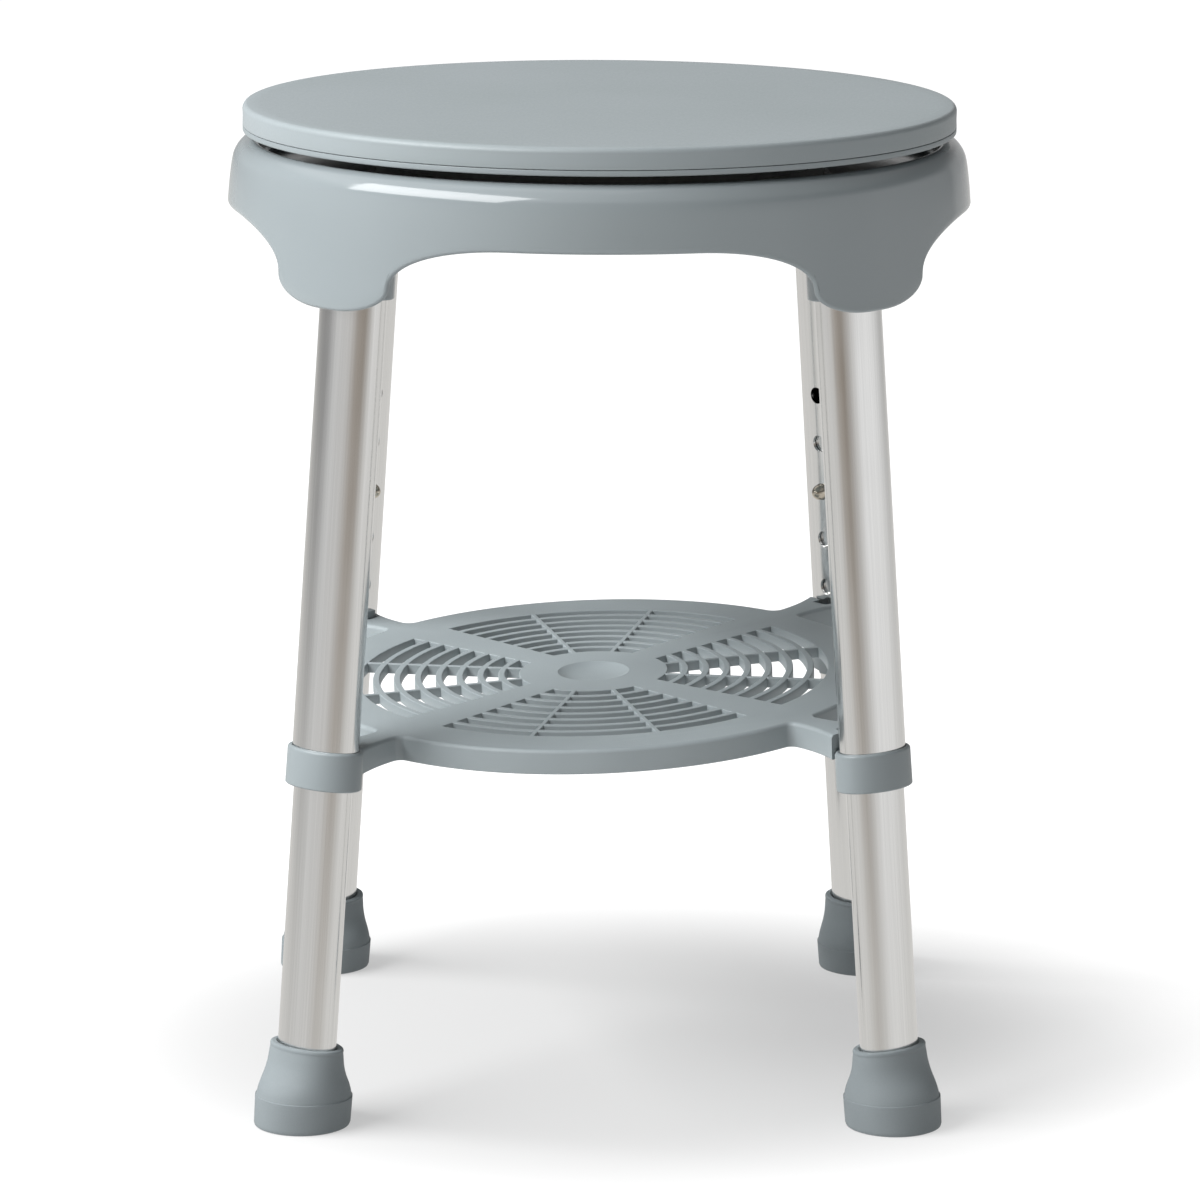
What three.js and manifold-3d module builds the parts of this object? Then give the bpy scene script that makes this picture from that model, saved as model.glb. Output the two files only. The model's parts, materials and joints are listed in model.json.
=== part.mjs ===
// Height-adjustable shower stool with a round swivel seat.
// Millimetres, +Z up, front towards -Y. The origin is on the floor, on the swivel's axis.
import * as THREE from "three";
import { mergeVertices } from "three/addons/utils/BufferGeometryUtils.js";
import Module from "manifold-3d";

const wasm = await Module();
wasm.setup();

// ---- Driving dimensions ----
const GAP = 0.3; // between pieces that touch
const ROUND = 56; // facets of the large turned pieces
const SMALL_ROUND = 12; // facets of screws, pins and holes
const OVAL_FACETS = 28; // facets of the tubes and what goes round them

// Seat
const SEAT_RADIUS = 173.3;
const SEAT_TOP = 474.1;
const BOARD_TOP = 463.3;
const BOARD_BOTTOM = 460.6;
const PAD_EDGE_ROUND = 3.2;
const BOARD_HUB_RADIUS = 16;
const BOARD_HUB_BOTTOM = 450.5;

// Swivel
const GLIDE_INNER = 97;
const GLIDE_OUTER = 109;
const GLIDE_TOP = 455;
const GLIDE_GROOVE = 1.5; // depth of the ring's seat in the deck
const TRACK_INNER = 82;
const TRACK_OUTER = 113;
const TRACK_THICKNESS = 1.2;
const TRACK_SCREW_CIRCLE = 87.5;
const TRACK_SCREW_RADIUS = 1.8;
const BOLT_RADIUS = 4;
const BOLT_HEAD_RADIUS = 8;
const BOLT_HEAD_BOTTOM = 458.6;
const BOLT_HEAD_TOP = 463;
const BOLT_END = 414;
const BUSH_RADIUS = 7;
const BUSH_FLANGE_RADIUS = 14;
const WASHER_RADIUS = 13;
const WASHER_THICKNESS = 2;
const NUT_ACROSS_CORNERS = 15;
const NUT_HEIGHT = 6.5;

// Base frame
const BASE_CREST = 456.5;
const BASE_CREST_RADIUS = 168;
const DECK_TOP = 447;
const DECK_THICKNESS = 3;
const WALL = 3.2;
const HUB_RADIUS = 14;
const HUB_BOTTOM = 428;
const SKIRT_RADIUS = 180.8;
const SKIRT_SPREAD = 2.6; // the lobes' feet stand this much further out
const SKIRT_EDGE = 425.5; // lower edge between the lobes
const LOBE_EDGE = 391.8; // lower edge of the lobes
const LOBE_BEND = 405; // where the edge's two curves meet
const LOBE_HALF_WIDTH = 37.5;
const LOBE_FLAT = 4.5;
const LOBE_SWEEP = 60;
const RIB_THICKNESS = 3;
const RIB_BOTTOM = 432;
const RIB_REACH = 145;
const SOCKET_WALL = 3.2;
const SOCKET_BOTTOM = 398; // along the leg

// Legs. Lengths along a leg are measured from the floor.
const FOOT_SPREAD = 141.6; // foot centre from the middle, in X and in Y
const LEG_LEAN = 0.0652; // inward run per unit of height, in X and in Y
const TUBE_HALF_WIDTH = 18.5;
const TUBE_HALF_DEPTH = 13;
const TUBE_WALL = 1.5;
const LOWER_INSET = 1.85; // lower tube's outline inside the upper tube's
const LOWER_WALL = 1.4;
const UPPER_START = 165.6;
const UPPER_END = 438;
const LOWER_START = 8.5;
const LOWER_END = 298;
const HOLE_RADIUS = 4.25;
const HOLE_PITCH = 25.4;
const HOLE_COUNT = 5;
const BUTTON_HOLE = 2; // the hole in use, counted from the top
const TOP_HOLE = 311.8;
const LEG_SCREW_AT = 424;
const LEG_SCREW_RADIUS = 2;
const LEG_SCREW_HOLE = LEG_SCREW_RADIUS + GAP;

// Snap button and its spring
const BUTTON_RADIUS = 3.95;
const BUTTON_TIP = 18.9; // from the leg's axis
const BUTTON_FLANGE_RADIUS = 5.4;
const BUTTON_FLANGE_OUTER = 8.7;
const BUTTON_FLANGE_INNER = 7.9;
const SPRING_WIDTH = 8;
const SPRING_THICKNESS = 0.7;
const SPRING_REACH = 16; // from the button up to the bend
const SPRING_TAIL = 8; // arm past the button

// Collar
const COLLAR_WALL = 2.4;
const COLLAR_BOTTOM = 164.2;
const COLLAR_TOP = 182.8;
const TONGUE_HALF_WIDTH = 4;
const TONGUE_DEPTH = 18;
const TONGUE_TOP = 198;

// Foot
const FOOT_RADIUS = 23.3;
const FOOT_RIM_AT = 38.8;
const FOOT_FLOOR = 6.3;
const INSERT_RADIUS = 10.4;
const INSERT_THICKNESS = 1.6;
const FOOT_FACETS = 24;

// Shelf
const SHELF_RADIUS = 140.4;
const SHELF_HEIGHT = 190.3;
const SHELF_DEPTH = 12.1;
const SHELF_PLATE = 5;
const SHELF_RIM = 3;
const SHELF_LEAN_BACK = 0.048; // rise per unit of Y
const SHELF_LEAN_SIDE = 0.0383; // rise per unit of X
const SHELF_SHIFT_X = -2.2;
const SLOT_ROWS = 8;
const SLOT_WIDTH = 7;
const SLOT_FIRST = 36.9;
const SLOT_PITCH = 10.36;
const SLOT_RIB_ANGLE = 15;
const SLOT_RIB_HALF = 1.2;
const BAND_HALF_INNER = 8.3;
const BAND_HALF_OUTER = 12.5;
const DISH_RADIUS = 17.8;
const DISH_DEPTH = 3.4;
const DISH_WALL = 3;
const EAR_NECK = 7.5;
const EAR_FLARE = 12.8;
const EAR_FILLET = 9;
const EAR_END = 171.5;
const EAR_POCKET_END = 158;
const EAR_CLEARANCE = 0.7;

// ---- Finishes ----
const material = (colour, roughness, metalness) => () =>
  new THREE.MeshStandardMaterial({ color: colour, roughness, metalness });
const foamSkin = material(0x8b979b, 0.55, 0);
const glossPlastic = material(0x8b979b, 0.25, 0);
const mattePlastic = material(0x8b979b, 0.6, 0);
const rubber = material(0x87939a, 0.85, 0);
const aluminium = material(0xc4c4c2, 0.35, 0.9);
const steel = material(0xb8b8b4, 0.3, 1);
const nickel = material(0xb5a98c, 0.25, 1);
const acetal = material(0xe8e8e4, 0.5, 0);

// ---- Solids ----
function toSolid(geometry) {
  const bare = geometry.index ? geometry.toNonIndexed() : geometry.clone();
  bare.deleteAttribute("normal");
  bare.deleteAttribute("uv");
  const merged = mergeVertices(bare, 1e-4);
  const kept = [];
  const index = merged.index.array;
  for (let i = 0; i < index.length; i += 3) {
    const [a, b, c] = [index[i], index[i + 1], index[i + 2]];
    if (a !== b && b !== c && c !== a) kept.push(a, b, c);
  }
  const vertProperties = new Float32Array(merged.attributes.position.array);
  const build = (triangles) =>
    new wasm.Manifold(
      new wasm.Mesh({ numProp: 3, vertProperties, triVerts: new Uint32Array(triangles) }),
    );
  const solid = build(kept);
  if (solid.volume() > 0) return solid;
  const flipped = [];
  for (let i = 0; i < kept.length; i += 3) flipped.push(kept[i], kept[i + 2], kept[i + 1]);
  return build(flipped);
}

function toGeometry(solid) {
  const mesh = solid.getMesh();
  const geometry = new THREE.BufferGeometry();
  const points = new THREE.BufferAttribute(new Float32Array(mesh.vertProperties), 3);
  geometry.setAttribute("position", points);
  geometry.setIndex(new THREE.BufferAttribute(new Uint32Array(mesh.triVerts), 1));
  const flat = geometry.toNonIndexed();
  flat.computeVertexNormals();
  return flat;
}

// A turned solid about Z. points are [radius, height]; they start and end on the axis, or close.
function turned(points, facets = ROUND) {
  const profile = points.map(([r, z]) => new THREE.Vector2(r, z));
  const closed = points[0][0] > 0;
  if (closed) profile.push(profile[0].clone());
  const geometry = new THREE.LatheGeometry(profile, facets);
  geometry.rotateX(Math.PI / 2);
  return geometry;
}

const disc = (radius, low, high, facets = SMALL_ROUND) =>
  turned([[0, low], [radius, low], [radius, high], [0, high]], facets);

const ring = (inner, outer, low, high, facets = ROUND) =>
  turned([[inner, low], [outer, low], [outer, high], [inner, high]], facets);

function block(lowX, highX, lowY, highY, lowZ, highZ) {
  const geometry = new THREE.BoxGeometry(highX - lowX, highY - lowY, highZ - lowZ);
  return geometry.translate((lowX + highX) / 2, (lowY + highY) / 2, (lowZ + highZ) / 2);
}

// An oval prism along Z.
function oval(halfWidth, halfDepth, low, high, facets = OVAL_FACETS) {
  const geometry = new THREE.CylinderGeometry(1, 1, high - low, facets);
  geometry.rotateX(Math.PI / 2);
  geometry.scale(halfWidth, halfDepth, 1);
  return geometry.translate(0, 0, (low + high) / 2);
}

// A rod along -Y, from one distance to another, at a height.
function rodInward(radius, from, to, height, facets = SMALL_ROUND) {
  const geometry = new THREE.CylinderGeometry(radius, radius, to - from, facets);
  return geometry.translate(0, -(from + to) / 2, height);
}

function prism(shape, low, high, curveSegments = 8) {
  const settings = { depth: high - low, bevelEnabled: false, curveSegments };
  return new THREE.ExtrudeGeometry(shape, settings).translate(0, 0, low);
}

function cut(whole, ...cutters) {
  return cutters.reduce((left, cutter) => left.subtract(cutter), whole);
}

function join(first, ...others) {
  return others.reduce((sum, other) => sum.add(other), first);
}

const model = new THREE.Group();

function place(name, solid, finish, group = model) {
  const mesh = new THREE.Mesh(toGeometry(solid), finish());
  mesh.name = name;
  group.add(mesh);
}

// ---- Leg frames: X along the tube's width, -Y towards the stool's middle, Z up the leg ----
const LEGS = [
  { name: "front_left", x: -1, y: -1 },
  { name: "front_right", x: 1, y: -1 },
  { name: "rear_left", x: -1, y: 1 },
  { name: "rear_right", x: 1, y: 1 },
];

function legMatrix({ x, y }) {
  const up = new THREE.Vector3(-LEG_LEAN * x, -LEG_LEAN * y, 1).normalize();
  const out = new THREE.Vector3(x, y, 0);
  out.addScaledVector(up, -out.dot(up)).normalize();
  const across = new THREE.Vector3().crossVectors(out, up);
  const matrix = new THREE.Matrix4().makeBasis(across, out, up);
  return matrix.setPosition(FOOT_SPREAD * x, FOOT_SPREAD * y, 0);
}

const onLeg = (geometry, leg) => toSolid(geometry.applyMatrix4(legMatrix(leg)));

// ---- Seat and swivel ----
function seatPad() {
  const round = PAD_EDGE_ROUND;
  const edge = SEAT_RADIUS - round;
  const points = [[0, BOARD_TOP + GAP], [SEAT_RADIUS - 0.4, BOARD_TOP + GAP]];
  points.push([SEAT_RADIUS, BOARD_TOP + 1.1]);
  for (let step = 0; step <= 4; step += 1) {
    const angle = (step * Math.PI) / 8;
    const z = SEAT_TOP - round + round * Math.sin(angle);
    points.push([edge + round * Math.cos(angle), z]);
  }
  points.push([0, SEAT_TOP]);
  return toSolid(turned(points));
}

const trackBottom = GLIDE_TOP + GAP;
const trackTop = trackBottom + TRACK_THICKNESS;
const quarterTurns = [0, 1, 2, 3].map((turn) => (turn * Math.PI) / 2);

function screwPlaces() {
  return quarterTurns.map((angle) => [
    TRACK_SCREW_CIRCLE * Math.cos(angle),
    TRACK_SCREW_CIRCLE * Math.sin(angle),
  ]);
}

function seatBoard() {
  const boss = trackTop + GAP;
  const pocket = BOLT_HEAD_RADIUS + 1;
  const bore = BOLT_RADIUS + GAP;
  const body = toSolid(
    turned([
      [bore, BOARD_HUB_BOTTOM],
      [BOARD_HUB_RADIUS, BOARD_HUB_BOTTOM],
      [BOARD_HUB_RADIUS, BOARD_BOTTOM],
      [TRACK_INNER - 2, BOARD_BOTTOM],
      [TRACK_INNER - 2, boss],
      [TRACK_OUTER + 2, boss],
      [TRACK_OUTER + 2, BOARD_BOTTOM],
      [SEAT_RADIUS - 1.5, BOARD_BOTTOM],
      [SEAT_RADIUS - 0.2, BOARD_BOTTOM + 0.8],
      [SEAT_RADIUS, BOARD_TOP],
      [pocket, BOARD_TOP],
      [pocket, BOLT_HEAD_BOTTOM - GAP],
      [bore, BOLT_HEAD_BOTTOM - GAP],
    ]),
  );
  const pilots = screwPlaces().map(([x, y]) =>
    toSolid(disc(TRACK_SCREW_RADIUS + GAP, boss - 1, BOARD_TOP - 1, 10).translate(x, y, 0)),
  );
  return cut(body, ...pilots);
}

function seatTrack() {
  const holes = screwPlaces().map(([x, y]) =>
    toSolid(disc(TRACK_SCREW_RADIUS + GAP, trackBottom - 1, trackTop + 1, 10).translate(x, y, 0)),
  );
  return cut(toSolid(ring(TRACK_INNER, TRACK_OUTER, trackBottom, trackTop, 48)), ...holes);
}

function trackScrew(x, y) {
  const head = trackBottom - GAP;
  const points = [
    [0, head - 1.8],
    [2.6, head - 1.8],
    [3.8, head - 0.6],
    [3.8, head],
    [TRACK_SCREW_RADIUS, head],
    [TRACK_SCREW_RADIUS, BOARD_TOP - 2],
    [0, BOARD_TOP - 1.4],
  ];
  return toSolid(turned(points, 10).translate(x, y, 0));
}

function pivotBolt() {
  const head = disc(BOLT_HEAD_RADIUS, BOLT_HEAD_BOTTOM, BOLT_HEAD_TOP, 6);
  const shank = disc(BOLT_RADIUS, BOLT_END, BOLT_HEAD_BOTTOM + 1);
  return join(toSolid(head), toSolid(shank));
}

function pivotBush() {
  const flange = DECK_TOP + GAP;
  return toSolid(
    turned(
      [
        [BOLT_RADIUS + GAP, HUB_BOTTOM + 2],
        [BUSH_RADIUS, HUB_BOTTOM + 2],
        [BUSH_RADIUS, flange],
        [BUSH_FLANGE_RADIUS, flange],
        [BUSH_FLANGE_RADIUS, BOARD_HUB_BOTTOM - GAP],
        [BOLT_RADIUS + GAP, BOARD_HUB_BOTTOM - GAP],
      ],
      24,
    ),
  );
}

const washerTop = HUB_BOTTOM - GAP;
const washerBottom = washerTop - WASHER_THICKNESS;
const nutTop = washerBottom - GAP;

function addSwivel() {
  place("seat_pad", seatPad(), foamSkin);
  place("seat_board", seatBoard(), mattePlastic);
  place("seat_track", seatTrack(), steel);
  screwPlaces().forEach(([x, y], number) =>
    place(`seat_track_screw_${number + 1}`, trackScrew(x, y), steel),
  );
  place("pivot_bolt", pivotBolt(), steel);
  const washer = ring(BOLT_RADIUS + GAP, WASHER_RADIUS, washerBottom, washerTop, 24);
  place("pivot_washer", toSolid(washer), steel);
  const hexagon = disc(NUT_ACROSS_CORNERS / 2, nutTop - NUT_HEIGHT, nutTop, 6);
  const thread = disc(BOLT_RADIUS + GAP, nutTop - NUT_HEIGHT - 1, nutTop + 1);
  place("pivot_nut", cut(toSolid(hexagon), toSolid(thread)), steel);
  place("pivot_bush", pivotBush(), acetal);
  const groove = DECK_TOP - GLIDE_GROOVE + GAP;
  place("glide_ring", toSolid(ring(GLIDE_INNER, GLIDE_OUTER, groove, GLIDE_TOP, 48)), acetal);
}

// ---- Base frame ----
function baseShell() {
  const deckBottom = DECK_TOP - DECK_THICKNESS;
  const low = LOBE_EDGE - 4;
  const bore = BUSH_RADIUS + GAP;
  return toSolid(
    turned([
      [SKIRT_RADIUS + SKIRT_SPREAD, low],
      [SKIRT_RADIUS, SKIRT_EDGE],
      [SKIRT_RADIUS - 1.2, 438],
      [SKIRT_RADIUS - 2.4, 447],
      [SKIRT_RADIUS - 3.8, 451],
      [SKIRT_RADIUS - 6.8, 454.7],
      [BASE_CREST_RADIUS + 3, BASE_CREST - 0.5],
      [BASE_CREST_RADIUS, BASE_CREST],
      [BASE_CREST_RADIUS - 2.4, BASE_CREST - 1],
      [BASE_CREST_RADIUS - 3.4, BASE_CREST - 4],
      [BASE_CREST_RADIUS - 4, DECK_TOP],
      [GLIDE_OUTER + GAP, DECK_TOP],
      [GLIDE_OUTER + GAP, DECK_TOP - GLIDE_GROOVE],
      [GLIDE_INNER - GAP, DECK_TOP - GLIDE_GROOVE],
      [GLIDE_INNER - GAP, DECK_TOP],
      [bore, DECK_TOP],
      [bore, HUB_BOTTOM],
      [HUB_RADIUS, HUB_BOTTOM],
      [HUB_RADIUS, deckBottom],
      [SKIRT_RADIUS - 2.4 - WALL - 2, deckBottom],
      [SKIRT_RADIUS - 1.2 - WALL, 438],
      [SKIRT_RADIUS - WALL, SKIRT_EDGE],
      [SKIRT_RADIUS + SKIRT_SPREAD - WALL, low],
    ]),
  );
}

// Height of the skirt's lower edge at a distance along the edge from a lobe's middle.
function skirtOutline() {
  const points = [];
  for (let step = 0; step <= 6; step += 1) {
    const angle = (step * Math.PI) / 12;
    const run = LOBE_FLAT + (LOBE_HALF_WIDTH - LOBE_FLAT) * Math.sin(angle);
    points.push([run, LOBE_BEND - (LOBE_BEND - LOBE_EDGE) * Math.cos(angle)]);
  }
  for (let step = 1; step <= 8; step += 1) {
    const angle = (step * Math.PI) / 16;
    const run = LOBE_HALF_WIDTH + LOBE_SWEEP * (1 - Math.cos(angle));
    points.push([run, LOBE_BEND + (SKIRT_EDGE - LOBE_BEND) * Math.sin(angle)]);
  }
  return points;
}

// Everything under the skirt's edge on one side of the base, from lobe to lobe.
function skirtCutter(turn) {
  const quarter = (SKIRT_RADIUS * Math.PI) / 4;
  const half = skirtOutline().map(([run, z]) => {
    const angle = (quarter - run) / SKIRT_RADIUS;
    return [SKIRT_RADIUS * Math.sin(angle), z];
  });
  const edge = SKIRT_RADIUS * 0.76; // just past the lobe's middle
  const low = LOBE_EDGE - 12;
  const points = [[edge, low], [edge, LOBE_EDGE], ...half];
  half.toReversed().forEach(([y, z]) => points.push([-y, z]));
  points.push([-edge, LOBE_EDGE], [-edge, low]);
  const shape = new THREE.Shape(points.map(([y, z]) => new THREE.Vector2(y, z)));
  const geometry = prism(shape, 60, 230);
  const matrix = new THREE.Matrix4().makeBasis(
    new THREE.Vector3(0, 1, 0),
    new THREE.Vector3(0, 0, 1),
    new THREE.Vector3(1, 0, 0),
  );
  return toSolid(geometry.applyMatrix4(matrix).rotateZ(turn));
}

function baseFrame() {
  const deckBottom = DECK_TOP - DECK_THICKNESS;
  const ribs = [1, -1].map((side) => {
    const half = RIB_THICKNESS / 2;
    const bar = block(-RIB_REACH, RIB_REACH, -half, half, RIB_BOTTOM, deckBottom + 1);
    return toSolid(bar.rotateZ((side * Math.PI) / 4));
  });
  const sockets = LEGS.map((leg) => {
    const wide = TUBE_HALF_WIDTH + SOCKET_WALL;
    const deep = TUBE_HALF_DEPTH + SOCKET_WALL;
    return onLeg(oval(wide, deep, SOCKET_BOTTOM, DECK_TOP), leg);
  });
  const trimmed = cut(baseShell(), ...quarterTurns.map(skirtCutter));
  const bores = LEGS.flatMap((leg) => {
    const wide = TUBE_HALF_WIDTH + GAP;
    const deep = TUBE_HALF_DEPTH + GAP;
    const screw = rodInward(LEG_SCREW_HOLE, 10, 24, LEG_SCREW_AT, 10);
    return [
      onLeg(oval(wide, deep, SOCKET_BOTTOM - 30, UPPER_END + GAP), leg),
      onLeg(screw, leg),
    ];
  });
  const bolt = toSolid(disc(BUSH_RADIUS + GAP, HUB_BOTTOM - 5, DECK_TOP + 5, ROUND));
  return cut(join(trimmed, ...ribs, ...sockets), ...bores, bolt);
}

// ---- Legs ----
const lowerHalfWidth = TUBE_HALF_WIDTH - LOWER_INSET;
const lowerHalfDepth = TUBE_HALF_DEPTH - LOWER_INSET;
const buttonHeight = TOP_HOLE - BUTTON_HOLE * HOLE_PITCH;

function tube(halfWidth, halfDepth, wall, low, high) {
  const outside = toSolid(oval(halfWidth, halfDepth, low, high));
  const inside = toSolid(oval(halfWidth - wall, halfDepth - wall, low - 1, high + 1));
  return cut(outside, inside);
}

function upperLeg() {
  const holes = Array.from({ length: HOLE_COUNT }, (_, number) =>
    toSolid(rodInward(HOLE_RADIUS, 4, 16, TOP_HOLE - number * HOLE_PITCH)),
  );
  const screw = toSolid(rodInward(LEG_SCREW_HOLE, 4, 16, LEG_SCREW_AT, 10));
  const body = tube(TUBE_HALF_WIDTH, TUBE_HALF_DEPTH, TUBE_WALL, UPPER_START, UPPER_END);
  return cut(body, ...holes, screw);
}

function lowerLeg() {
  const hole = toSolid(rodInward(HOLE_RADIUS, 4, 16, buttonHeight));
  return cut(tube(lowerHalfWidth, lowerHalfDepth, LOWER_WALL, LOWER_START, LOWER_END), hole);
}

function legScrew() {
  const points = [
    [0, 10.4],
    [LEG_SCREW_RADIUS, 11],
    [LEG_SCREW_RADIUS, 16.5],
    [4, 16.5],
    [4, 17.3],
    [2.6, 18.6],
    [0, 18.6],
  ];
  return toSolid(turned(points, 10).rotateX(Math.PI / 2).translate(0, 0, LEG_SCREW_AT));
}

// A pin whose nose is a rounded cone, on a flange that stays inside the tube.
function snapButton() {
  const shoulder = TUBE_HALF_DEPTH + 1.4;
  const points = [
    [0, BUTTON_FLANGE_INNER],
    [BUTTON_FLANGE_RADIUS, BUTTON_FLANGE_INNER],
    [BUTTON_FLANGE_RADIUS, BUTTON_FLANGE_OUTER],
    [BUTTON_RADIUS, BUTTON_FLANGE_OUTER],
    [BUTTON_RADIUS, shoulder],
    [BUTTON_RADIUS * 0.88, shoulder + 1.3],
    [BUTTON_RADIUS * 0.5, BUTTON_TIP - 1],
    [0, BUTTON_TIP],
  ];
  const pin = turned(points, SMALL_ROUND).rotateX(Math.PI / 2);
  return toSolid(pin.translate(0, 0, buttonHeight));
}

// A strip bent into a U: the front arm carries the button, the rear arm bears on the tube.
function buttonSpring() {
  const outer = BUTTON_FLANGE_INNER - GAP;
  const inner = outer - SPRING_THICKNESS;
  const low = buttonHeight - SPRING_TAIL;
  const bend = buttonHeight + SPRING_REACH;
  const shape = new THREE.Shape();
  shape.moveTo(-outer, low);
  shape.lineTo(-inner, low);
  shape.lineTo(-inner, bend);
  shape.absarc(0, bend, inner, Math.PI, 0, true);
  shape.lineTo(inner, low);
  shape.lineTo(outer, low);
  shape.lineTo(outer, bend);
  shape.absarc(0, bend, outer, 0, Math.PI, false);
  const matrix = new THREE.Matrix4().makeBasis(
    new THREE.Vector3(0, 1, 0),
    new THREE.Vector3(0, 0, 1),
    new THREE.Vector3(1, 0, 0),
  );
  return toSolid(prism(shape, -SPRING_WIDTH / 2, SPRING_WIDTH / 2, 6).applyMatrix4(matrix));
}

// An oval ring round the upper tube's end, with a tongue that holds the shelf's ear.
function collar() {
  const wide = TUBE_HALF_WIDTH + COLLAR_WALL;
  const deep = TUBE_HALF_DEPTH + COLLAR_WALL;
  const sleeve = toSolid(oval(wide, deep, COLLAR_BOTTOM, COLLAR_TOP));
  const near = -(TUBE_HALF_DEPTH + GAP);
  const half = TONGUE_HALF_WIDTH;
  const tongue = block(-half, half, -TONGUE_DEPTH, near, COLLAR_BOTTOM, TONGUE_TOP);
  const lip = UPPER_START - GAP;
  const upper = oval(TUBE_HALF_WIDTH + GAP, TUBE_HALF_DEPTH + GAP, lip, TONGUE_TOP + 5);
  const lower = oval(lowerHalfWidth + GAP, lowerHalfDepth + GAP, COLLAR_BOTTOM - 5, lip + 1);
  return cut(join(sleeve, toSolid(tongue)), toSolid(upper), toSolid(lower));
}

// ---- Foot: a round base that narrows to the tube's oval rim ----
// Each row: height, half width, half depth.
const FOOT_ROWS = [
  [0, FOOT_RADIUS - 1.4, FOOT_RADIUS - 1.4],
  [1.2, FOOT_RADIUS - 0.2, FOOT_RADIUS - 0.2],
  [14, FOOT_RADIUS, FOOT_RADIUS],
  [17, FOOT_RADIUS - 0.5, FOOT_RADIUS - 0.7],
  [21, 21.9, 20.6],
  [25, 20.9, 17.9],
  [30, 20.4, 15.6],
  [FOOT_RIM_AT, 20.3, 14.8],
];

// Ring of points round the leg, level at the floor and square to the leg at the rim.
function footRing(leg, [height, halfWidth, halfDepth]) {
  const across = new THREE.Vector3();
  const out = new THREE.Vector3();
  const up = new THREE.Vector3();
  legMatrix(leg).extractBasis(across, out, up);
  const level = new THREE.Vector3(leg.x, leg.y, 0).normalize();
  const share = height / FOOT_RIM_AT;
  const depthwise = level.lerp(out, share).normalize();
  const centre = new THREE.Vector3(FOOT_SPREAD * leg.x, FOOT_SPREAD * leg.y, 0);
  centre.addScaledVector(up, height);
  return Array.from({ length: FOOT_FACETS }, (_, number) => {
    const angle = (number * 2 * Math.PI) / FOOT_FACETS;
    const point = centre.clone().addScaledVector(across, halfWidth * Math.cos(angle));
    return point.addScaledVector(depthwise, halfDepth * Math.sin(angle));
  });
}

function loft(rings) {
  const count = rings[0].length;
  const positions = rings.flat().flatMap((point) => point.toArray());
  const index = [];
  rings.slice(1).forEach((_, row) => {
    for (let number = 0; number < count; number += 1) {
      const next = (number + 1) % count;
      const [a, b] = [row * count + number, row * count + next];
      index.push(a, b, b + count, a, b + count, a + count);
    }
  });
  for (let number = 1; number < count - 1; number += 1) {
    index.push(0, number + 1, number);
    const last = (rings.length - 1) * count;
    index.push(last, last + number, last + number + 1);
  }
  const geometry = new THREE.BufferGeometry();
  geometry.setAttribute("position", new THREE.Float32BufferAttribute(positions, 3));
  geometry.setIndex(index);
  return geometry;
}

function foot(leg) {
  const body = toSolid(loft(FOOT_ROWS.map((row) => footRing(leg, row))));
  const wide = lowerHalfWidth + GAP;
  const deep = lowerHalfDepth + GAP;
  return cut(body, onLeg(oval(wide, deep, FOOT_FLOOR, FOOT_RIM_AT + 10), leg));
}

function addLegs() {
  LEGS.forEach((leg) => {
    const group = new THREE.Group();
    group.applyMatrix4(legMatrix(leg));
    model.add(group);
    place(`${leg.name}_upper_leg`, upperLeg(), aluminium, group);
    place(`${leg.name}_leg_screw`, legScrew(), steel, group);
    place(`${leg.name}_collar`, collar(), mattePlastic, group);
    place(`${leg.name}_lower_leg`, lowerLeg(), aluminium, group);
    place(`${leg.name}_snap_button`, snapButton(), nickel, group);
    place(`${leg.name}_button_spring`, buttonSpring(), steel, group);
    const insertLow = FOOT_FLOOR + GAP;
    const insert = disc(INSERT_RADIUS, insertLow, insertLow + INSERT_THICKNESS, 20);
    place(`${leg.name}_foot_insert`, toSolid(insert), steel, group);
    place(`${leg.name}_foot`, foot(leg), rubber);
  });
}

// ---- Shelf, drawn level with its top face at zero and then leaned ----
const degrees = (angle) => (angle * Math.PI) / 180;
const polar = (radius, angle) =>
  new THREE.Vector2(radius * Math.cos(angle), radius * Math.sin(angle));

function arc(radius, from, to, steps) {
  return Array.from({ length: steps + 1 }, (_, step) =>
    polar(radius, from + ((to - from) * step) / steps),
  );
}

// The rounded corner between the disc and an ear turns about this point, along and aside the ear.
const cornerAside = EAR_NECK + EAR_FILLET;
const cornerAlong = Math.sqrt((SHELF_RADIUS + EAR_FILLET) ** 2 - cornerAside ** 2);
const cornerTurn = Math.atan2(cornerAside, cornerAlong);

// One side of an ear: from the disc, round the corner and out to the flare at the leg.
function earSide(side, inset, end) {
  const reach = EAR_FILLET + inset;
  const corner = [0.8, 0.6, 0.4, 0.2, 0].map((part) => {
    const angle = Math.PI / 2 + (Math.PI / 2 - cornerTurn) * part;
    const aside = cornerAside - reach * Math.sin(angle);
    return [cornerAlong + reach * Math.cos(angle), side * aside];
  });
  const flare = [0.25, 0.5, 0.75, 1].map((part) => {
    const along = cornerAlong + (end - cornerAlong) * part;
    const share = (along - cornerAlong) / (EAR_END - cornerAlong);
    return [along, side * (EAR_NECK + (EAR_FLARE - EAR_NECK) * share * share - inset)];
  });
  return [...corner, ...flare];
}

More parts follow.
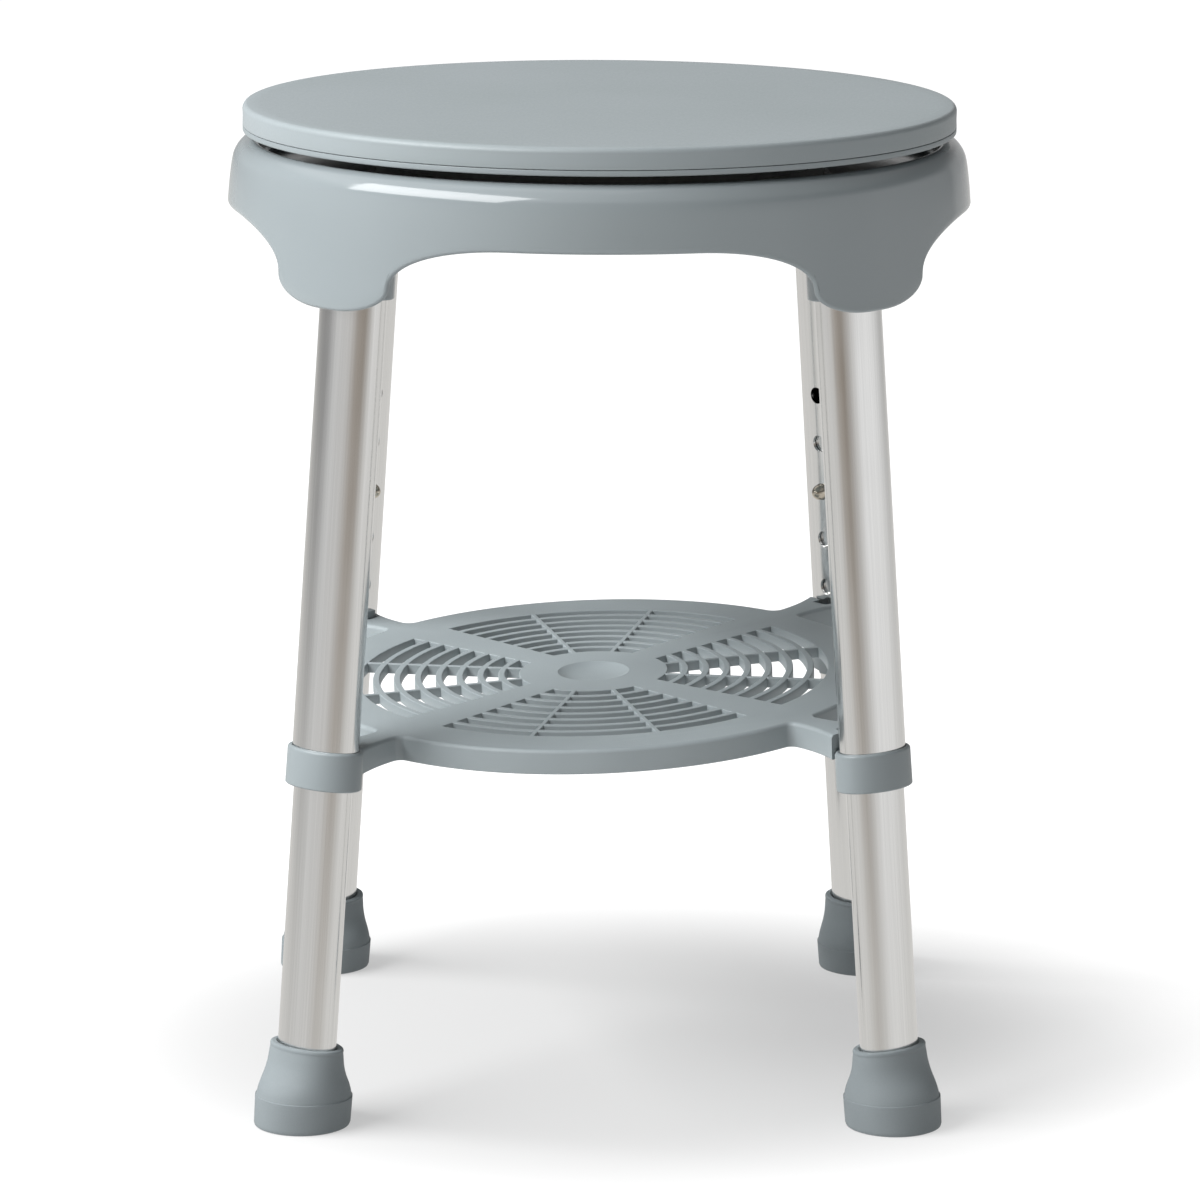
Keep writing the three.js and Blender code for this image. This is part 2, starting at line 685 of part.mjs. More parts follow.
// The disc with its four ears, drawn in by an inset all round.
function shelfOutline(inset, end) {
  const points = [];
  quarterTurns.forEach((turn) => {
    const diagonal = turn + Math.PI / 4;
    const next = diagonal + Math.PI / 2;
    const toPlane = ([along, aside]) =>
      new THREE.Vector2(along, aside).rotateAround(new THREE.Vector2(), diagonal);
    points.push(...earSide(-1, inset, end).map(toPlane));
    points.push(...earSide(1, inset, end).reverse().map(toPlane));
    points.push(...arc(SHELF_RADIUS - inset, diagonal + cornerTurn, next - cornerTurn, 14));
  });
  return new THREE.Shape(points);
}

// Angle from a sector's middle where a slot stops beside the solid diagonal band.
function slotEnd(radius) {
  const share = (radius - SLOT_FIRST) / (SLOT_ROWS * SLOT_PITCH);
  const band = BAND_HALF_INNER + (BAND_HALF_OUTER - BAND_HALF_INNER) * share;
  return Math.PI / 4 - Math.asin(band / radius);
}

function slot(inner, outer, from, to, steps) {
  const points = [
    ...arc(outer, from(outer), to(outer), steps),
    ...arc(inner, to(inner), from(inner), steps),
  ];
  return new THREE.Shape(points);
}

function slotCutters(sector) {
  const rib = degrees(SLOT_RIB_ANGLE);
  const beside = (sign) => (radius) => sector + sign * (rib + SLOT_RIB_HALF / radius);
  const within = (sign) => (radius) => sector + sign * (rib - SLOT_RIB_HALF / radius);
  const stop = (sign) => (radius) => sector + sign * slotEnd(radius);
  return Array.from({ length: SLOT_ROWS }, (_, row) => {
    const inner = SLOT_FIRST + row * SLOT_PITCH;
    const outer = inner + SLOT_WIDTH;
    const shapes = [
      slot(inner, outer, within(-1), within(1), 3),
      slot(inner, outer, beside(1), stop(1), 2),
      slot(inner, outer, stop(-1), beside(-1), 2),
    ];
    return shapes.map((shape) => toSolid(prism(shape, -SHELF_DEPTH - 5, 5)));
  }).flat();
}

function shelf() {
  const outline = shelfOutline(0, EAR_END);
  const inside = shelfOutline(SHELF_RIM, EAR_POCKET_END);
  const body = toSolid(prism(outline, -SHELF_DEPTH, 0));
  const hollow = toSolid(prism(inside, -SHELF_DEPTH - 5, -SHELF_PLATE));
  const bossBottom = -SHELF_PLATE - DISH_WALL;
  const boss = toSolid(disc(DISH_RADIUS + DISH_WALL, bossBottom, -SHELF_PLATE + 1, 32));
  const dish = toSolid(disc(DISH_RADIUS, -DISH_DEPTH, 5, 32));
  const slots = quarterTurns.flatMap(slotCutters);
  const grille = cut(join(cut(body, hollow), boss), dish, ...slots);
  return toSolid(toGeometry(grille).applyMatrix4(shelfMatrix()));
}

function shelfMatrix() {
  const across = new THREE.Vector3(1, 0, SHELF_LEAN_SIDE).normalize();
  const back = new THREE.Vector3(0, 1, SHELF_LEAN_BACK);
  const up = new THREE.Vector3().crossVectors(across, back).normalize();
  back.crossVectors(up, across);
  const matrix = new THREE.Matrix4().makeBasis(across, back, up);
  return matrix.setPosition(SHELF_SHIFT_X, 0, SHELF_HEIGHT + SHELF_SHIFT_X * SHELF_LEAN_SIDE);
}

// The shelf with a notch in each ear for the collar, its tongue and the tube above it.
function shelfRoundLegs() {
  const [low, high] = [130, 240]; // well under and over the shelf
  const overCollar = COLLAR_TOP + EAR_CLEARANCE;
  const slotHalf = TONGUE_HALF_WIDTH + EAR_CLEARANCE;
  const notchRoundTube = (growth, from, to) =>
    oval(TUBE_HALF_WIDTH + growth, TUBE_HALF_DEPTH + growth, from, to);
  const cutters = LEGS.flatMap((leg) => [
    onLeg(notchRoundTube(COLLAR_WALL + EAR_CLEARANCE, low, overCollar), leg),
    onLeg(notchRoundTube(EAR_CLEARANCE, overCollar - 1, high), leg),
    onLeg(block(-slotHalf, slotHalf, -TONGUE_DEPTH - EAR_CLEARANCE, 0, low, high), leg),
  ]);
  return cut(shelf(), ...cutters);
}

addSwivel();
place("base_frame", baseFrame(), glossPlastic);
addLegs();
place("shelf", shelfRoundLegs(), mattePlastic);

export default model;
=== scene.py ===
# %% [markdown]
# # A shower stool with a round swivel seat
# The stool has a firm foam seat on a moulded board, a glossy base with four lobes that hold the
# legs, a drained shelf half way up, and telescopic legs with snap buttons and rubber feet.
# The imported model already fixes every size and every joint. This lesson makes the fine surfaces
# around it, so it starts by loading that model and keeping its overall box.

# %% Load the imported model
import json
from math import asin, cos, pi, radians, sin, sqrt

import bmesh
import bpy
from mathutils import Matrix, Vector


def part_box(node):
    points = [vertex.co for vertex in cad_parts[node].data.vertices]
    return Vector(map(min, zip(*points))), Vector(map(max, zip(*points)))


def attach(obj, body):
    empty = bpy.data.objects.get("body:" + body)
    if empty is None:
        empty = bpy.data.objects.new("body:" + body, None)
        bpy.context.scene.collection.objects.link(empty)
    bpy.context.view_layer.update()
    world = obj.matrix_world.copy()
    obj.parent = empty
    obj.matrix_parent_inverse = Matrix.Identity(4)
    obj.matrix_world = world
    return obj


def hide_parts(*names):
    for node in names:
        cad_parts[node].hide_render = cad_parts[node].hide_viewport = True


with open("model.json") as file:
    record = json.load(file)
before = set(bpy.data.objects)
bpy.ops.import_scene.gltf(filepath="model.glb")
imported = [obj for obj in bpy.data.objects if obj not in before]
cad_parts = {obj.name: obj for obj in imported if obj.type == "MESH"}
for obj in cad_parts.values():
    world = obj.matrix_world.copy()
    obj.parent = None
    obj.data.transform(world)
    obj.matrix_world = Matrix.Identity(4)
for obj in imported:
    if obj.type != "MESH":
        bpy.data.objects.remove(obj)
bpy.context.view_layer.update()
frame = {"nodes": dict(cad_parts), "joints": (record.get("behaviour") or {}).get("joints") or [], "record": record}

record = frame["record"]
MM = 0.001
GAP = 0.3  # mm, between pieces that lie against each other

# %% [markdown]
# ## The camera
# A product picture is taken from far away with a long lens, which keeps the legs nearly parallel.
# The camera could be aimed with a Track To constraint. Three plain turns are easier to read: one
# to face the stool, one to look down on it, and a last small one for a camera held a little askew.

# %% Camera
LENS = 175.4
SENSOR_WIDTH = 36
CAMERA_PLACE = Vector((-0.0226, -2.8287, 0.8261))
LOOK_ASIDE = 0.0084
LOOK_DOWN = 0.209
CAMERA_ROLL = 0.0042


def add_camera():
    data = bpy.data.cameras.new("studio_camera")
    data.lens = LENS
    data.sensor_width = SENSOR_WIDTH
    camera = bpy.data.objects.new("studio_camera", data)
    bpy.context.scene.collection.objects.link(camera)
    aim = Matrix.Rotation(-LOOK_ASIDE, 4, "Z") @ Matrix.Rotation(pi / 2 - LOOK_DOWN, 4, "X")
    camera.matrix_world = Matrix.Translation(CAMERA_PLACE) @ aim @ Matrix.Rotation(CAMERA_ROLL, 4, "Z")
    bpy.context.scene.camera = camera


add_camera()
print("camera:", [round(value, 3) for value in CAMERA_PLACE], "lens", LENS, "mm")

# %% [markdown]
# ## The studio
# Glossy plastic and bright tube show what is around them, so the room matters as much as the
# lamps. A room could be built from white boards, but a world shader costs no geometry. Its
# colour is a ramp over the compass: a warm dark side in front of the stool, and grey and white
# boards at its sides. The ceiling is brighter on the left, and below the horizon reflections
# see an even pale glow, because the floor sheet itself is hidden from them. Light Path tests keep
# the jobs apart: reflections see the boards, diffuse light gets a dim even value in their place,
# and the camera sees plain white.

# %% Room
# (degrees round from the front, positive to the right; colour)
ROOM_BOARDS = [
    (-180, (0.4, 0.4, 0.4)), (-160, (0.27, 0.27, 0.27)), (-138, (0.2, 0.2, 0.2)),
    (-102, (0.24, 0.24, 0.24)), (-76, (0.62, 0.62, 0.62)), (-42, (0.58, 0.57, 0.56)),
    (-16, (0.32, 0.28, 0.24)), (8, (0.24, 0.20, 0.16)), (28, (0.45, 0.43, 0.41)),
    (55, (0.87, 0.87, 0.87)), (96, (0.87, 0.87, 0.87)), (128, (0.45, 0.45, 0.45)),
    (141, (0.3, 0.3, 0.3)), (144, (0.46, 0.46, 0.46)), (180, (0.5, 0.5, 0.5)),
]
BOARDS_END = (0.08, 0.3)  # heights of the view direction over which one zone gives way to the next
CEILING_STARTS = (0.4, 0.62)
CEILING_TURNS = (-0.6, 0.6)
FLOOR_STARTS = (-0.03, -0.2)
WHITE = (1, 1, 1, 1)
UPPER_WALLS = (0.12, 0.12, 0.12, 1)
CEILING_LEFT = (0.75, 0.75, 0.75, 1)
CEILING_RIGHT = (0.34, 0.34, 0.34, 1)
BOARD_LIGHT = (0.1, 0.1, 0.1, 1)
REFLECTED_FLOOR = (0.70, 0.69, 0.67, 1)


def fade(nodes, links, value, start, stop):
    """0 where the value is start, rising smoothly to 1 where it is stop."""
    node = nodes.new("ShaderNodeMapRange")
    node.interpolation_type = "SMOOTHSTEP"
    node.inputs["From Min"].default_value = start
    node.inputs["From Max"].default_value = stop
    links.new(value, node.inputs["Value"])
    return node.outputs["Result"]


def blended(nodes, links, factor, under, over):
    """A mix of two colours: under at 0, over at 1. Each is a colour, or the socket that gives it."""
    node = nodes.new("ShaderNodeMix")
    node.data_type = "RGBA"
    links.new(factor, node.inputs["Factor"])
    for side, colour in (("A", under), ("B", over)):
        if isinstance(colour, tuple):
            node.inputs[side].default_value = colour
        else:
            links.new(colour, node.inputs[side])
    return node.outputs["Result"]


def compass(nodes, links, parts):
    """The ramp of boards round the room."""
    forward = nodes.new("ShaderNodeMath")
    forward.operation = "MULTIPLY"
    forward.inputs[1].default_value = -1
    links.new(parts.outputs["Y"], forward.inputs[0])
    heading = nodes.new("ShaderNodeMath")
    heading.operation = "ARCTAN2"
    links.new(parts.outputs["X"], heading.inputs[0])
    links.new(forward.outputs[0], heading.inputs[1])
    turn = nodes.new("ShaderNodeMapRange")
    turn.inputs["From Min"].default_value = -pi
    turn.inputs["From Max"].default_value = pi
    links.new(heading.outputs[0], turn.inputs["Value"])
    boards = nodes.new("ShaderNodeValToRGB")
    stops = boards.color_ramp.elements
    for index, (angle, colour) in enumerate(ROOM_BOARDS):
        place = (angle + 180) / 360
        stop = stops[index] if index < 2 else stops.new(place)
        stop.position = place
        stop.color = (*colour, 1)
    links.new(turn.outputs["Result"], boards.inputs["Fac"])
    return boards.outputs["Color"]


def add_room():
    world = bpy.data.worlds.new("studio_room")
    world.use_nodes = True
    nodes, links = world.node_tree.nodes, world.node_tree.links
    parts = nodes.new("ShaderNodeSeparateXYZ")
    links.new(nodes.new("ShaderNodeTexCoord").outputs["Generated"], parts.inputs[0])
    height = parts.outputs["Z"]
    paths = nodes.new("ShaderNodeLightPath")
    boards = compass(nodes, links, parts)
    colour = blended(nodes, links, paths.outputs["Is Diffuse Ray"], boards, BOARD_LIGHT)
    colour = blended(nodes, links, fade(nodes, links, height, *BOARDS_END), colour, UPPER_WALLS)
    to_right = fade(nodes, links, parts.outputs["X"], *CEILING_TURNS)
    ceiling = blended(nodes, links, to_right, CEILING_LEFT, CEILING_RIGHT)
    overhead = fade(nodes, links, height, *CEILING_STARTS)
    colour = blended(nodes, links, overhead, colour, ceiling)
    colour = blended(nodes, links, fade(nodes, links, height, *FLOOR_STARTS), colour, REFLECTED_FLOOR)
    colour = blended(nodes, links, paths.outputs["Is Camera Ray"], colour, WHITE)
    links.new(colour, nodes["Background"].inputs["Color"])
    bpy.context.scene.world = world


add_room()
print("room:", len(ROOM_BOARDS), "stops round the compass")

# %% [markdown]
# Three area lamps light the stool. A long soft one on the left gives the form and the shadows,
# and doesn't show in the gloss. The one overhead only lifts the top a little. The third adds no
# diffuse light: its reflection is the long highlight on the base. The floor is a plain sheet
# that glows, which is painted light: faintly under the stool, where it lightens the shadow and
# lights the stool from below, and more the farther out it is, so that it ends in the white behind the stool.

# %% Lamps and floor
FLOOR_SIZE = 30
FLOOR_COLOUR = (0.24, 0.24, 0.24, 1)
# painted light: even near the stool the floor glows, which lightens the shadow under it
FLOOR_GLOW_NEAR = 0.44
FLOOR_GLOW_FAR = 0.9
FLOOR_GLOW_RAMP = (0.15, 0.36)  # metres from the middle


def add_lamp(name, place, target, width, height, power):
    """A white area lamp that shines from its place to a target. Sizes are in metres, power in watts."""
    data = bpy.data.lights.new(name, "AREA")
    data.shape = "RECTANGLE"
    data.size = width
    data.size_y = height
    data.energy = power
    lamp = bpy.data.objects.new(name, data)
    bpy.context.scene.collection.objects.link(lamp)
    lamp.location = place
    lamp.rotation_euler = (Vector(target) - Vector(place)).to_track_quat("-Z", "Y").to_euler()
    return lamp


def glow_far_away(nodes, links):
    """The strength of the floor's glow, which is painted light: it grows from NEAR under the stool, where it
    lightens the shadow, to FAR over FLOOR_GLOW_RAMP.
    """
    place = nodes.new("ShaderNodeTexCoord").outputs["Object"]
    reach = nodes.new("ShaderNodeVectorMath")
    reach.operation = "LENGTH"
    links.new(place, reach.inputs[0])
    glow = fade(nodes, links, reach.outputs["Value"], *FLOOR_GLOW_RAMP)
    glow.node.inputs["To Min"].default_value = FLOOR_GLOW_NEAR
    glow.node.inputs["To Max"].default_value = FLOOR_GLOW_FAR
    return glow


def new_material(name):
    """A material with its nodes, its links and its shader."""
    material = bpy.data.materials.new(name)
    material.use_nodes = True
    nodes = material.node_tree.nodes
    return material, nodes, material.node_tree.links, nodes["Principled BSDF"]


def add_floor():
    half = FLOOR_SIZE / 2
    mesh = bpy.data.meshes.new("studio_floor")
    corners = [(-half, -half, 0), (half, -half, 0), (half, half, 0), (-half, half, 0)]
    mesh.from_pydata(corners, [], [(0, 1, 2, 3)])
    floor = bpy.data.objects.new("studio_floor", mesh)
    bpy.context.scene.collection.objects.link(floor)
    material, nodes, links, shader = new_material("studio_floor")
    shader.inputs["Base Color"].default_value = FLOOR_COLOUR
    shader.inputs["Roughness"].default_value = 0.9
    shader.inputs["Specular IOR Level"].default_value = 0.1
    shader.inputs["Emission Color"].default_value = WHITE
    links.new(glow_far_away(nodes, links), shader.inputs["Emission Strength"])
    mesh.materials.append(material)
    floor.visible_glossy = False


add_floor()
left_wall = add_lamp("left_wall", (-2.28, -0.6, 2.27), (0, 0, 0.3), 3.0, 1.0, 212)
left_wall.visible_glossy = False
add_lamp("overhead", (-0.2, 0.1, 2.8), (0, 0, 0.2), 1.8, 1.8, 3)
highlight = add_lamp("highlight_softbox", (-1.44, -0.9, 1.63), (0, 0, 0.44), 2.0, 1.0, 44)
highlight.visible_diffuse = False
bpy.context.scene.view_settings.view_transform = "Standard"
print("studio: one floor and", len(bpy.data.lights), "lamps")

# %% [markdown]
# ## Moulded finishes
# Nearly everything on the stool is blue-grey plastic, and the moulds give it its different
# looks: polished on the base, satin on the seat and the collars, spark-grained on the shelf. One
# helper can make them all, because they share a build: a cloudy drift of colour, as pigment in
# plastic has, a fine grain that lifts the surface, and a roughness that wanders a little. The
# texture is read in the piece's own coordinates, so it stays put when a joint moves.

# %% Helper for moulded finishes
NOISE_RANGE = (0.3, 0.7)


def ramp(nodes, links, source, low, high):
    """A noise, most of whose values lie in NOISE_RANGE, spread from low to high."""
    node = nodes.new("ShaderNodeMapRange")
    node.inputs["From Min"].default_value, node.inputs["From Max"].default_value = NOISE_RANGE
    node.inputs["To Min"].default_value = low
    node.inputs["To Max"].default_value = high
    links.new(source, node.inputs["Value"])
    return node.outputs["Result"]


def speckle(nodes, links, coordinates, scale, detail=2, stretch=(1, 1, 1)):
    """A noise with scale cells per metre, stretched along the axes."""
    mapping = nodes.new("ShaderNodeMapping")
    mapping.inputs["Scale"].default_value = stretch
    links.new(coordinates, mapping.inputs["Vector"])
    noise = nodes.new("ShaderNodeTexNoise")
    noise.inputs["Scale"].default_value = scale
    noise.inputs["Detail"].default_value = detail
    links.new(mapping.outputs["Vector"], noise.inputs["Vector"])
    return noise.outputs["Fac"]


def lift_surface(nodes, links, shader, height, strength, lift):
    """Raises the surface by a noise, up to a lift in millimetres."""
    bump = nodes.new("ShaderNodeBump")
    bump.inputs["Strength"].default_value = strength
    bump.inputs["Distance"].default_value = lift * MM
    links.new(height, bump.inputs["Height"])
    links.new(bump.outputs["Normal"], shader.inputs["Normal"])


def moulded(name, dark, light, rough, cloud=14, grain=1400, lift=0.02, **sockets):
    """A plastic, foam or rubber finish. rough is (lowest, highest), grain and cloud are per metre."""
    material, nodes, links, shader = new_material(name)
    place = nodes.new("ShaderNodeTexCoord").outputs["Object"]
    drift = ramp(nodes, links, speckle(nodes, links, place, cloud), 0, 1)
    links.new(blended(nodes, links, drift, (*dark, 1), (*light, 1)), shader.inputs["Base Color"])
    fine = speckle(nodes, links, place, grain, 3)
    links.new(ramp(nodes, links, fine, *rough), shader.inputs["Roughness"])
    lift_surface(nodes, links, shader, fine, 0.6, lift)
    for socket, value in sockets.items():
        shader.inputs[socket.replace("_", " ")].default_value = value
    return material


# %% Plastic, foam and rubber
foam_skin = moulded(
    "satin_foam_skin", (0.217, 0.247, 0.256), (0.231, 0.260, 0.272), (0.40, 0.52),
    cloud=9, grain=900, lift=0.03, Sheen_Weight=0.06, Sheen_Roughness=0.4,
)
board_plastic = moulded(
    "satin_board_plastic", (0.201, 0.228, 0.238), (0.213, 0.242, 0.252), (0.35, 0.45), grain=1500,
)
gloss_plastic = moulded(
    "polished_base_plastic", (0.201, 0.228, 0.238), (0.211, 0.239, 0.249), (0.08, 0.12),
    cloud=8, grain=260, lift=0.004, Coat_Weight=0.25, Coat_Roughness=0.05,
)
matte_plastic = moulded(
    "grained_shelf_plastic", (0.230, 0.261, 0.272), (0.250, 0.283, 0.295), (0.42, 0.56),
    cloud=18, grain=1700, lift=0.03,
)
collar_plastic = moulded(
    "satin_collar_plastic", (0.195, 0.222, 0.232), (0.208, 0.236, 0.246), (0.36, 0.46),
    cloud=18, grain=1500, lift=0.02,
)
foot_rubber = moulded(
    "foot_rubber", (0.174, 0.198, 0.208), (0.192, 0.218, 0.228), (0.62, 0.8),
    cloud=30, grain=1300, lift=0.05,
)
white_acetal = moulded("white_acetal", (0.78, 0.78, 0.75), (0.83, 0.83, 0.8), (0.3, 0.42))
moulded_finishes = [
    foam_skin, board_plastic, gloss_plastic, matte_plastic, collar_plastic, foot_rubber, white_acetal,
]
print("moulded finishes:", len(moulded_finishes))

# %% [markdown]
# ## Metal finishes
# The legs are drawn aluminium tube. The die leaves fine lines along the length, and anodising
# turns them satin. Brushed looks could come from the shader's anisotropy alone, but real draw
# lines are also uneven, so a noise stretched along the tube tints, roughens and lifts them.
# Screws, nut and washer are stainless steel, and the snap buttons are nickel-plated brass.

# %% Metals
def drawn_metal(name, dark, light, rough, lines, along, lift=0.006):
    """A metal with lines along its own Z axis: lines per metre across, and along the length."""
    material, nodes, links, shader = new_material(name)
    shader.inputs["Metallic"].default_value = 1.0
    place = nodes.new("ShaderNodeTexCoord").outputs["Object"]
    streak = speckle(nodes, links, place, lines, 3, (1, 1, along / lines))
    drift = ramp(nodes, links, streak, 0, 1)
    links.new(blended(nodes, links, drift, (*dark, 1), (*light, 1)), shader.inputs["Base Color"])
    cloud = speckle(nodes, links, place, 22)
    links.new(ramp(nodes, links, cloud, *rough), shader.inputs["Roughness"])
    lift_surface(nodes, links, shader, streak, 0.5, lift)
    return material


leg_aluminium = drawn_metal(
    "anodised_tube", (0.79, 0.79, 0.785), (0.85, 0.85, 0.845), (0.16, 0.21),
    lines=1500, along=9, lift=0.002,
)
stainless = drawn_metal(
    "stainless_steel", (0.52, 0.51, 0.49), (0.6, 0.59, 0.57), (0.2, 0.32), lines=1200, along=300,
)
spring_steel = drawn_metal(
    "spring_steel", (0.42, 0.41, 0.4), (0.5, 0.49, 0.47), (0.28, 0.4), lines=900, along=60,
)
nickel = drawn_metal(
    "nickel_plate", (0.55, 0.5, 0.42), (0.66, 0.61, 0.52), (0.16, 0.26), lines=1000, along=500,
)
print("metal finishes:", len([leg_aluminium, stainless, spring_steel, nickel]))

# %% [markdown]
# ## Making a surface from rings
# Most pieces here are turned or moulded round an axis, so they can be drawn as a stack of rings
# of points and skinned with quads. A screw modifier would also turn a profile, but rings may be
# oval, may lean and may change height as they go round, which this stool needs everywhere.

# %% Helpers for rings and meshes
def skin(rings, closed=False):
    """Quads between rings of equal length. Closed joins the last ring to the first, open caps the ends."""
    count = len(rings[0])
    points = [point for ring in rings for point in ring]
    pairs = list(zip(range(len(rings)), range(1, len(rings))))
    if closed:
        pairs.append((len(rings) - 1, 0))
    faces = []
    for low, high in pairs:
        for column in range(count):
            after = (column + 1) % count
            corners = (low * count + column, low * count + after)
            faces.append((*corners, high * count + after, high * count + column))
    if not closed:
        faces.append(tuple(reversed(range(count))))
        faces.append(tuple((len(rings) - 1) * count + column for column in range(count)))
    return points, faces


def round_ring(radius, height, columns):
    return oval(radius, radius, height, columns)


def oval(half_width, half_depth, height, columns):
    angles = [2 * pi * column / columns for column in range(columns)]
    return [(half_width * cos(angle), half_depth * sin(angle), height) for angle in angles]


def smooth(points, steps=4):
    """A flowing curve through the points, as a list of points (Catmull-Rom)."""
    ends = [points[0], *points, points[-1]]
    curve = []
    for a, b, c, d in zip(ends, ends[1:], ends[2:], ends[3:]):
        a, b, c, d = (Vector(point) for point in (a, b, c, d))
        for step in range(steps):
            t = step / steps
            curve.append(
                0.5 * (2 * b + (c - a) * t + (2 * a - 5 * b + 4 * c - d) * t * t
                       + (3 * b - a - 3 * c + d) * t ** 3)
            )
    curve.append(Vector(points[-1]))
    return [tuple(point) for point in curve]


def turned(profile, columns=96):
    """A solid turned about Z. A (radius, height) profile that starts off the axis closes on itself."""
    on_axis = profile[0][0] < 0.01
    trimmed = [(max(radius, 0.01), height) for radius, height in profile]
    return skin([round_ring(radius, height, columns) for radius, height in trimmed], not on_axis)


def gather(*shapes):
    points, faces = [], []
    for more_points, more_faces in shapes:
        start = len(points)
        points.extend(more_points)
        faces.extend(tuple(start + index for index in face) for face in more_faces)
    return points, faces


def moved(shape, matrix):
    return [tuple(matrix @ Vector(point)) for point in shape[0]], shape[1]


def make_mesh(name, shape, sharp=32):
    """A mesh in metres from a shape in millimetres, facing outwards, smooth but for its sharp edges."""
    mesh = bpy.data.meshes.new(name)
    mesh.from_pydata([Vector(point) * MM for point in shape[0]], [], shape[1])
    work = bmesh.new()
    work.from_mesh(mesh)
    bmesh.ops.recalc_face_normals(work, faces=work.faces)
    work.to_mesh(mesh)
    work.free()
    shade(mesh, sharp)
    return mesh


def shade(mesh, sharp=32):
    mesh.polygons.foreach_set("use_smooth", [True] * len(mesh.polygons))
    mesh.set_sharp_from_angle(angle=radians(sharp))
    mesh.update()


print("ring helpers ready")

# %% [markdown]
# ## Cutting, joining and rounding
# Holes, slots and sockets are easiest as the workshop does them: make the blank, then drill it.
# The Boolean modifier does that for closed meshes. A Bevel modifier then breaks the sharp edges,
# because every moulded edge catches a line of light. Both are applied at once, so that the piece
# keeps one plain mesh.

# %% Helpers for carving and rounding
def applied(mesh, set_up):
    """The mesh after the modifiers that set_up adds to an object holding it."""
    blank = bpy.data.objects.new("blank", mesh)
    bpy.context.scene.collection.objects.link(blank)
    helpers = set_up(blank)
    depsgraph = bpy.context.evaluated_depsgraph_get()
    made = bpy.data.meshes.new_from_object(blank.evaluated_get(depsgraph))
    made.name = mesh.name
    for helper in [blank, *helpers]:
        bpy.data.objects.remove(helper)
    return made


def carve(mesh, shape, operation="DIFFERENCE", sharp=32):
    """Takes a closed shape from the mesh, or joins it with UNION."""
    def set_up(blank):
        tool = bpy.data.objects.new("tool", make_mesh("tool", shape))
        bpy.context.scene.collection.objects.link(tool)
        modifier = blank.modifiers.new("carve", "BOOLEAN")
        modifier.operation = operation
        modifier.solver = "MANIFOLD"
        modifier.object = tool
        return [tool]

    made = applied(mesh, set_up)
    shade(made, sharp)
    return made


def rounded(mesh, width, angle=50, segments=2):
    """Rounds every edge sharper than the angle, by a width in millimetres."""
    def set_up(blank):
        modifier = blank.modifiers.new("round", "BEVEL")
        modifier.width = width * MM
        modifier.segments = segments
        modifier.limit_method = "ANGLE"
        modifier.angle_limit = radians(angle)
        modifier.use_clamp_overlap = False
        modifier.miter_outer = "MITER_ARC"
        return []

    made = applied(mesh, set_up)
    shade(made, 40)
    return made


def loose_edges(mesh):
    """How many edges don't lie between exactly two faces. A closed mesh has none."""
    used = {}
    for polygon in mesh.polygons:
        for key in polygon.edge_keys:
            used[key] = used.get(key, 0) + 1
    return sum(1 for count in used.values() if count != 2)


def fit(name, mesh, finish, body, nodes, place=None):
    """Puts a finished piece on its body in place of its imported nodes."""
    piece = bpy.data.objects.new(name, mesh)
    bpy.context.scene.collection.objects.link(piece)
    if place is not None:
        piece.matrix_world = place
    mesh.materials.clear()
    mesh.materials.append(finish)
    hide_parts(*nodes)
    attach(piece, body)
    print(f"{name}: {len(mesh.polygons)} faces, {loose_edges(mesh)} loose edges")
    return piece


# %% [markdown]
# ## The seat
# The seat is a disc of closed-cell foam with a moulded skin, which gives a soft edge and a top
# that swells a little towards the middle. Cloth simulation suits loose covers, but a firm foam
# disc is nearly rigid, so its profile is drawn and turned.

# %% Foam seat
PAD_EDGE_ROUND = 2.8
PAD_FOOT_ROUND = 0.3
PAD_CROWN = 0.15
PAD_CROWN_SHARES = (0.95, 0.85, 0.7, 0.5, 0.3, 0.15, 0)  # of the radius, from the edge to the middle
PAD_SIDE_PINCH = 0.12
SEAT_COLUMNS = 256


def size_of(node):
    low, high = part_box(node)
    return low / MM, high / MM


def quarter(radius, height, round_by, start, stop, steps=8):
    """Points of a rounded corner about (radius, height), from one angle to another in degrees."""
    angles = [radians(start + (stop - start) * step / steps) for step in range(steps + 1)]
    return [(radius + round_by * cos(angle), height + round_by * sin(angle)) for angle in angles]


def seat_pad_profile():
    low, high = size_of("seat_pad")
    radius, bottom, top = high.x, low.z, high.z
    edge = PAD_EDGE_ROUND
    profile = [(0, bottom), (radius * 0.6, bottom), (radius - 6, bottom)]
    profile += quarter(radius - PAD_FOOT_ROUND, bottom + PAD_FOOT_ROUND, PAD_FOOT_ROUND, -90, 0, 4)
    middle = (bottom + top - edge - PAD_CROWN) / 2
    profile.append((radius - PAD_SIDE_PINCH, middle))
    profile += quarter(radius - edge, top - edge - PAD_CROWN, edge, 0, 78, 10)
    for share in PAD_CROWN_SHARES:
        rise = PAD_CROWN * (1 - share * share)
        profile.append((radius * share, top - PAD_CROWN + rise))
    return profile


seat_pad = fit(
    "foam_seat", make_mesh("foam_seat", turned(seat_pad_profile(), SEAT_COLUMNS)),
    foam_skin, "seat", ["seat_pad"],
)

# %% [markdown]
# ## The seat board
# Under the foam is a moulded board with a ring-shaped boss for the swivel track and a hub for the
# pivot bolt. Only its rim shows, as a thin lip under the foam, so the rim gets the rounding.

# %% Seat board
BOARD_LIP = 2.7
BOARD_LIP_ROUND = 0.7
BOARD_TOP_ROUND = 0.2
BOLT_HOLE = 4.3
HUB_RADIUS = 16
RECESS_RADIUS = 9
RECESS_DEPTH = 5
BOSS_INNER = 80
BOSS_OUTER = 115


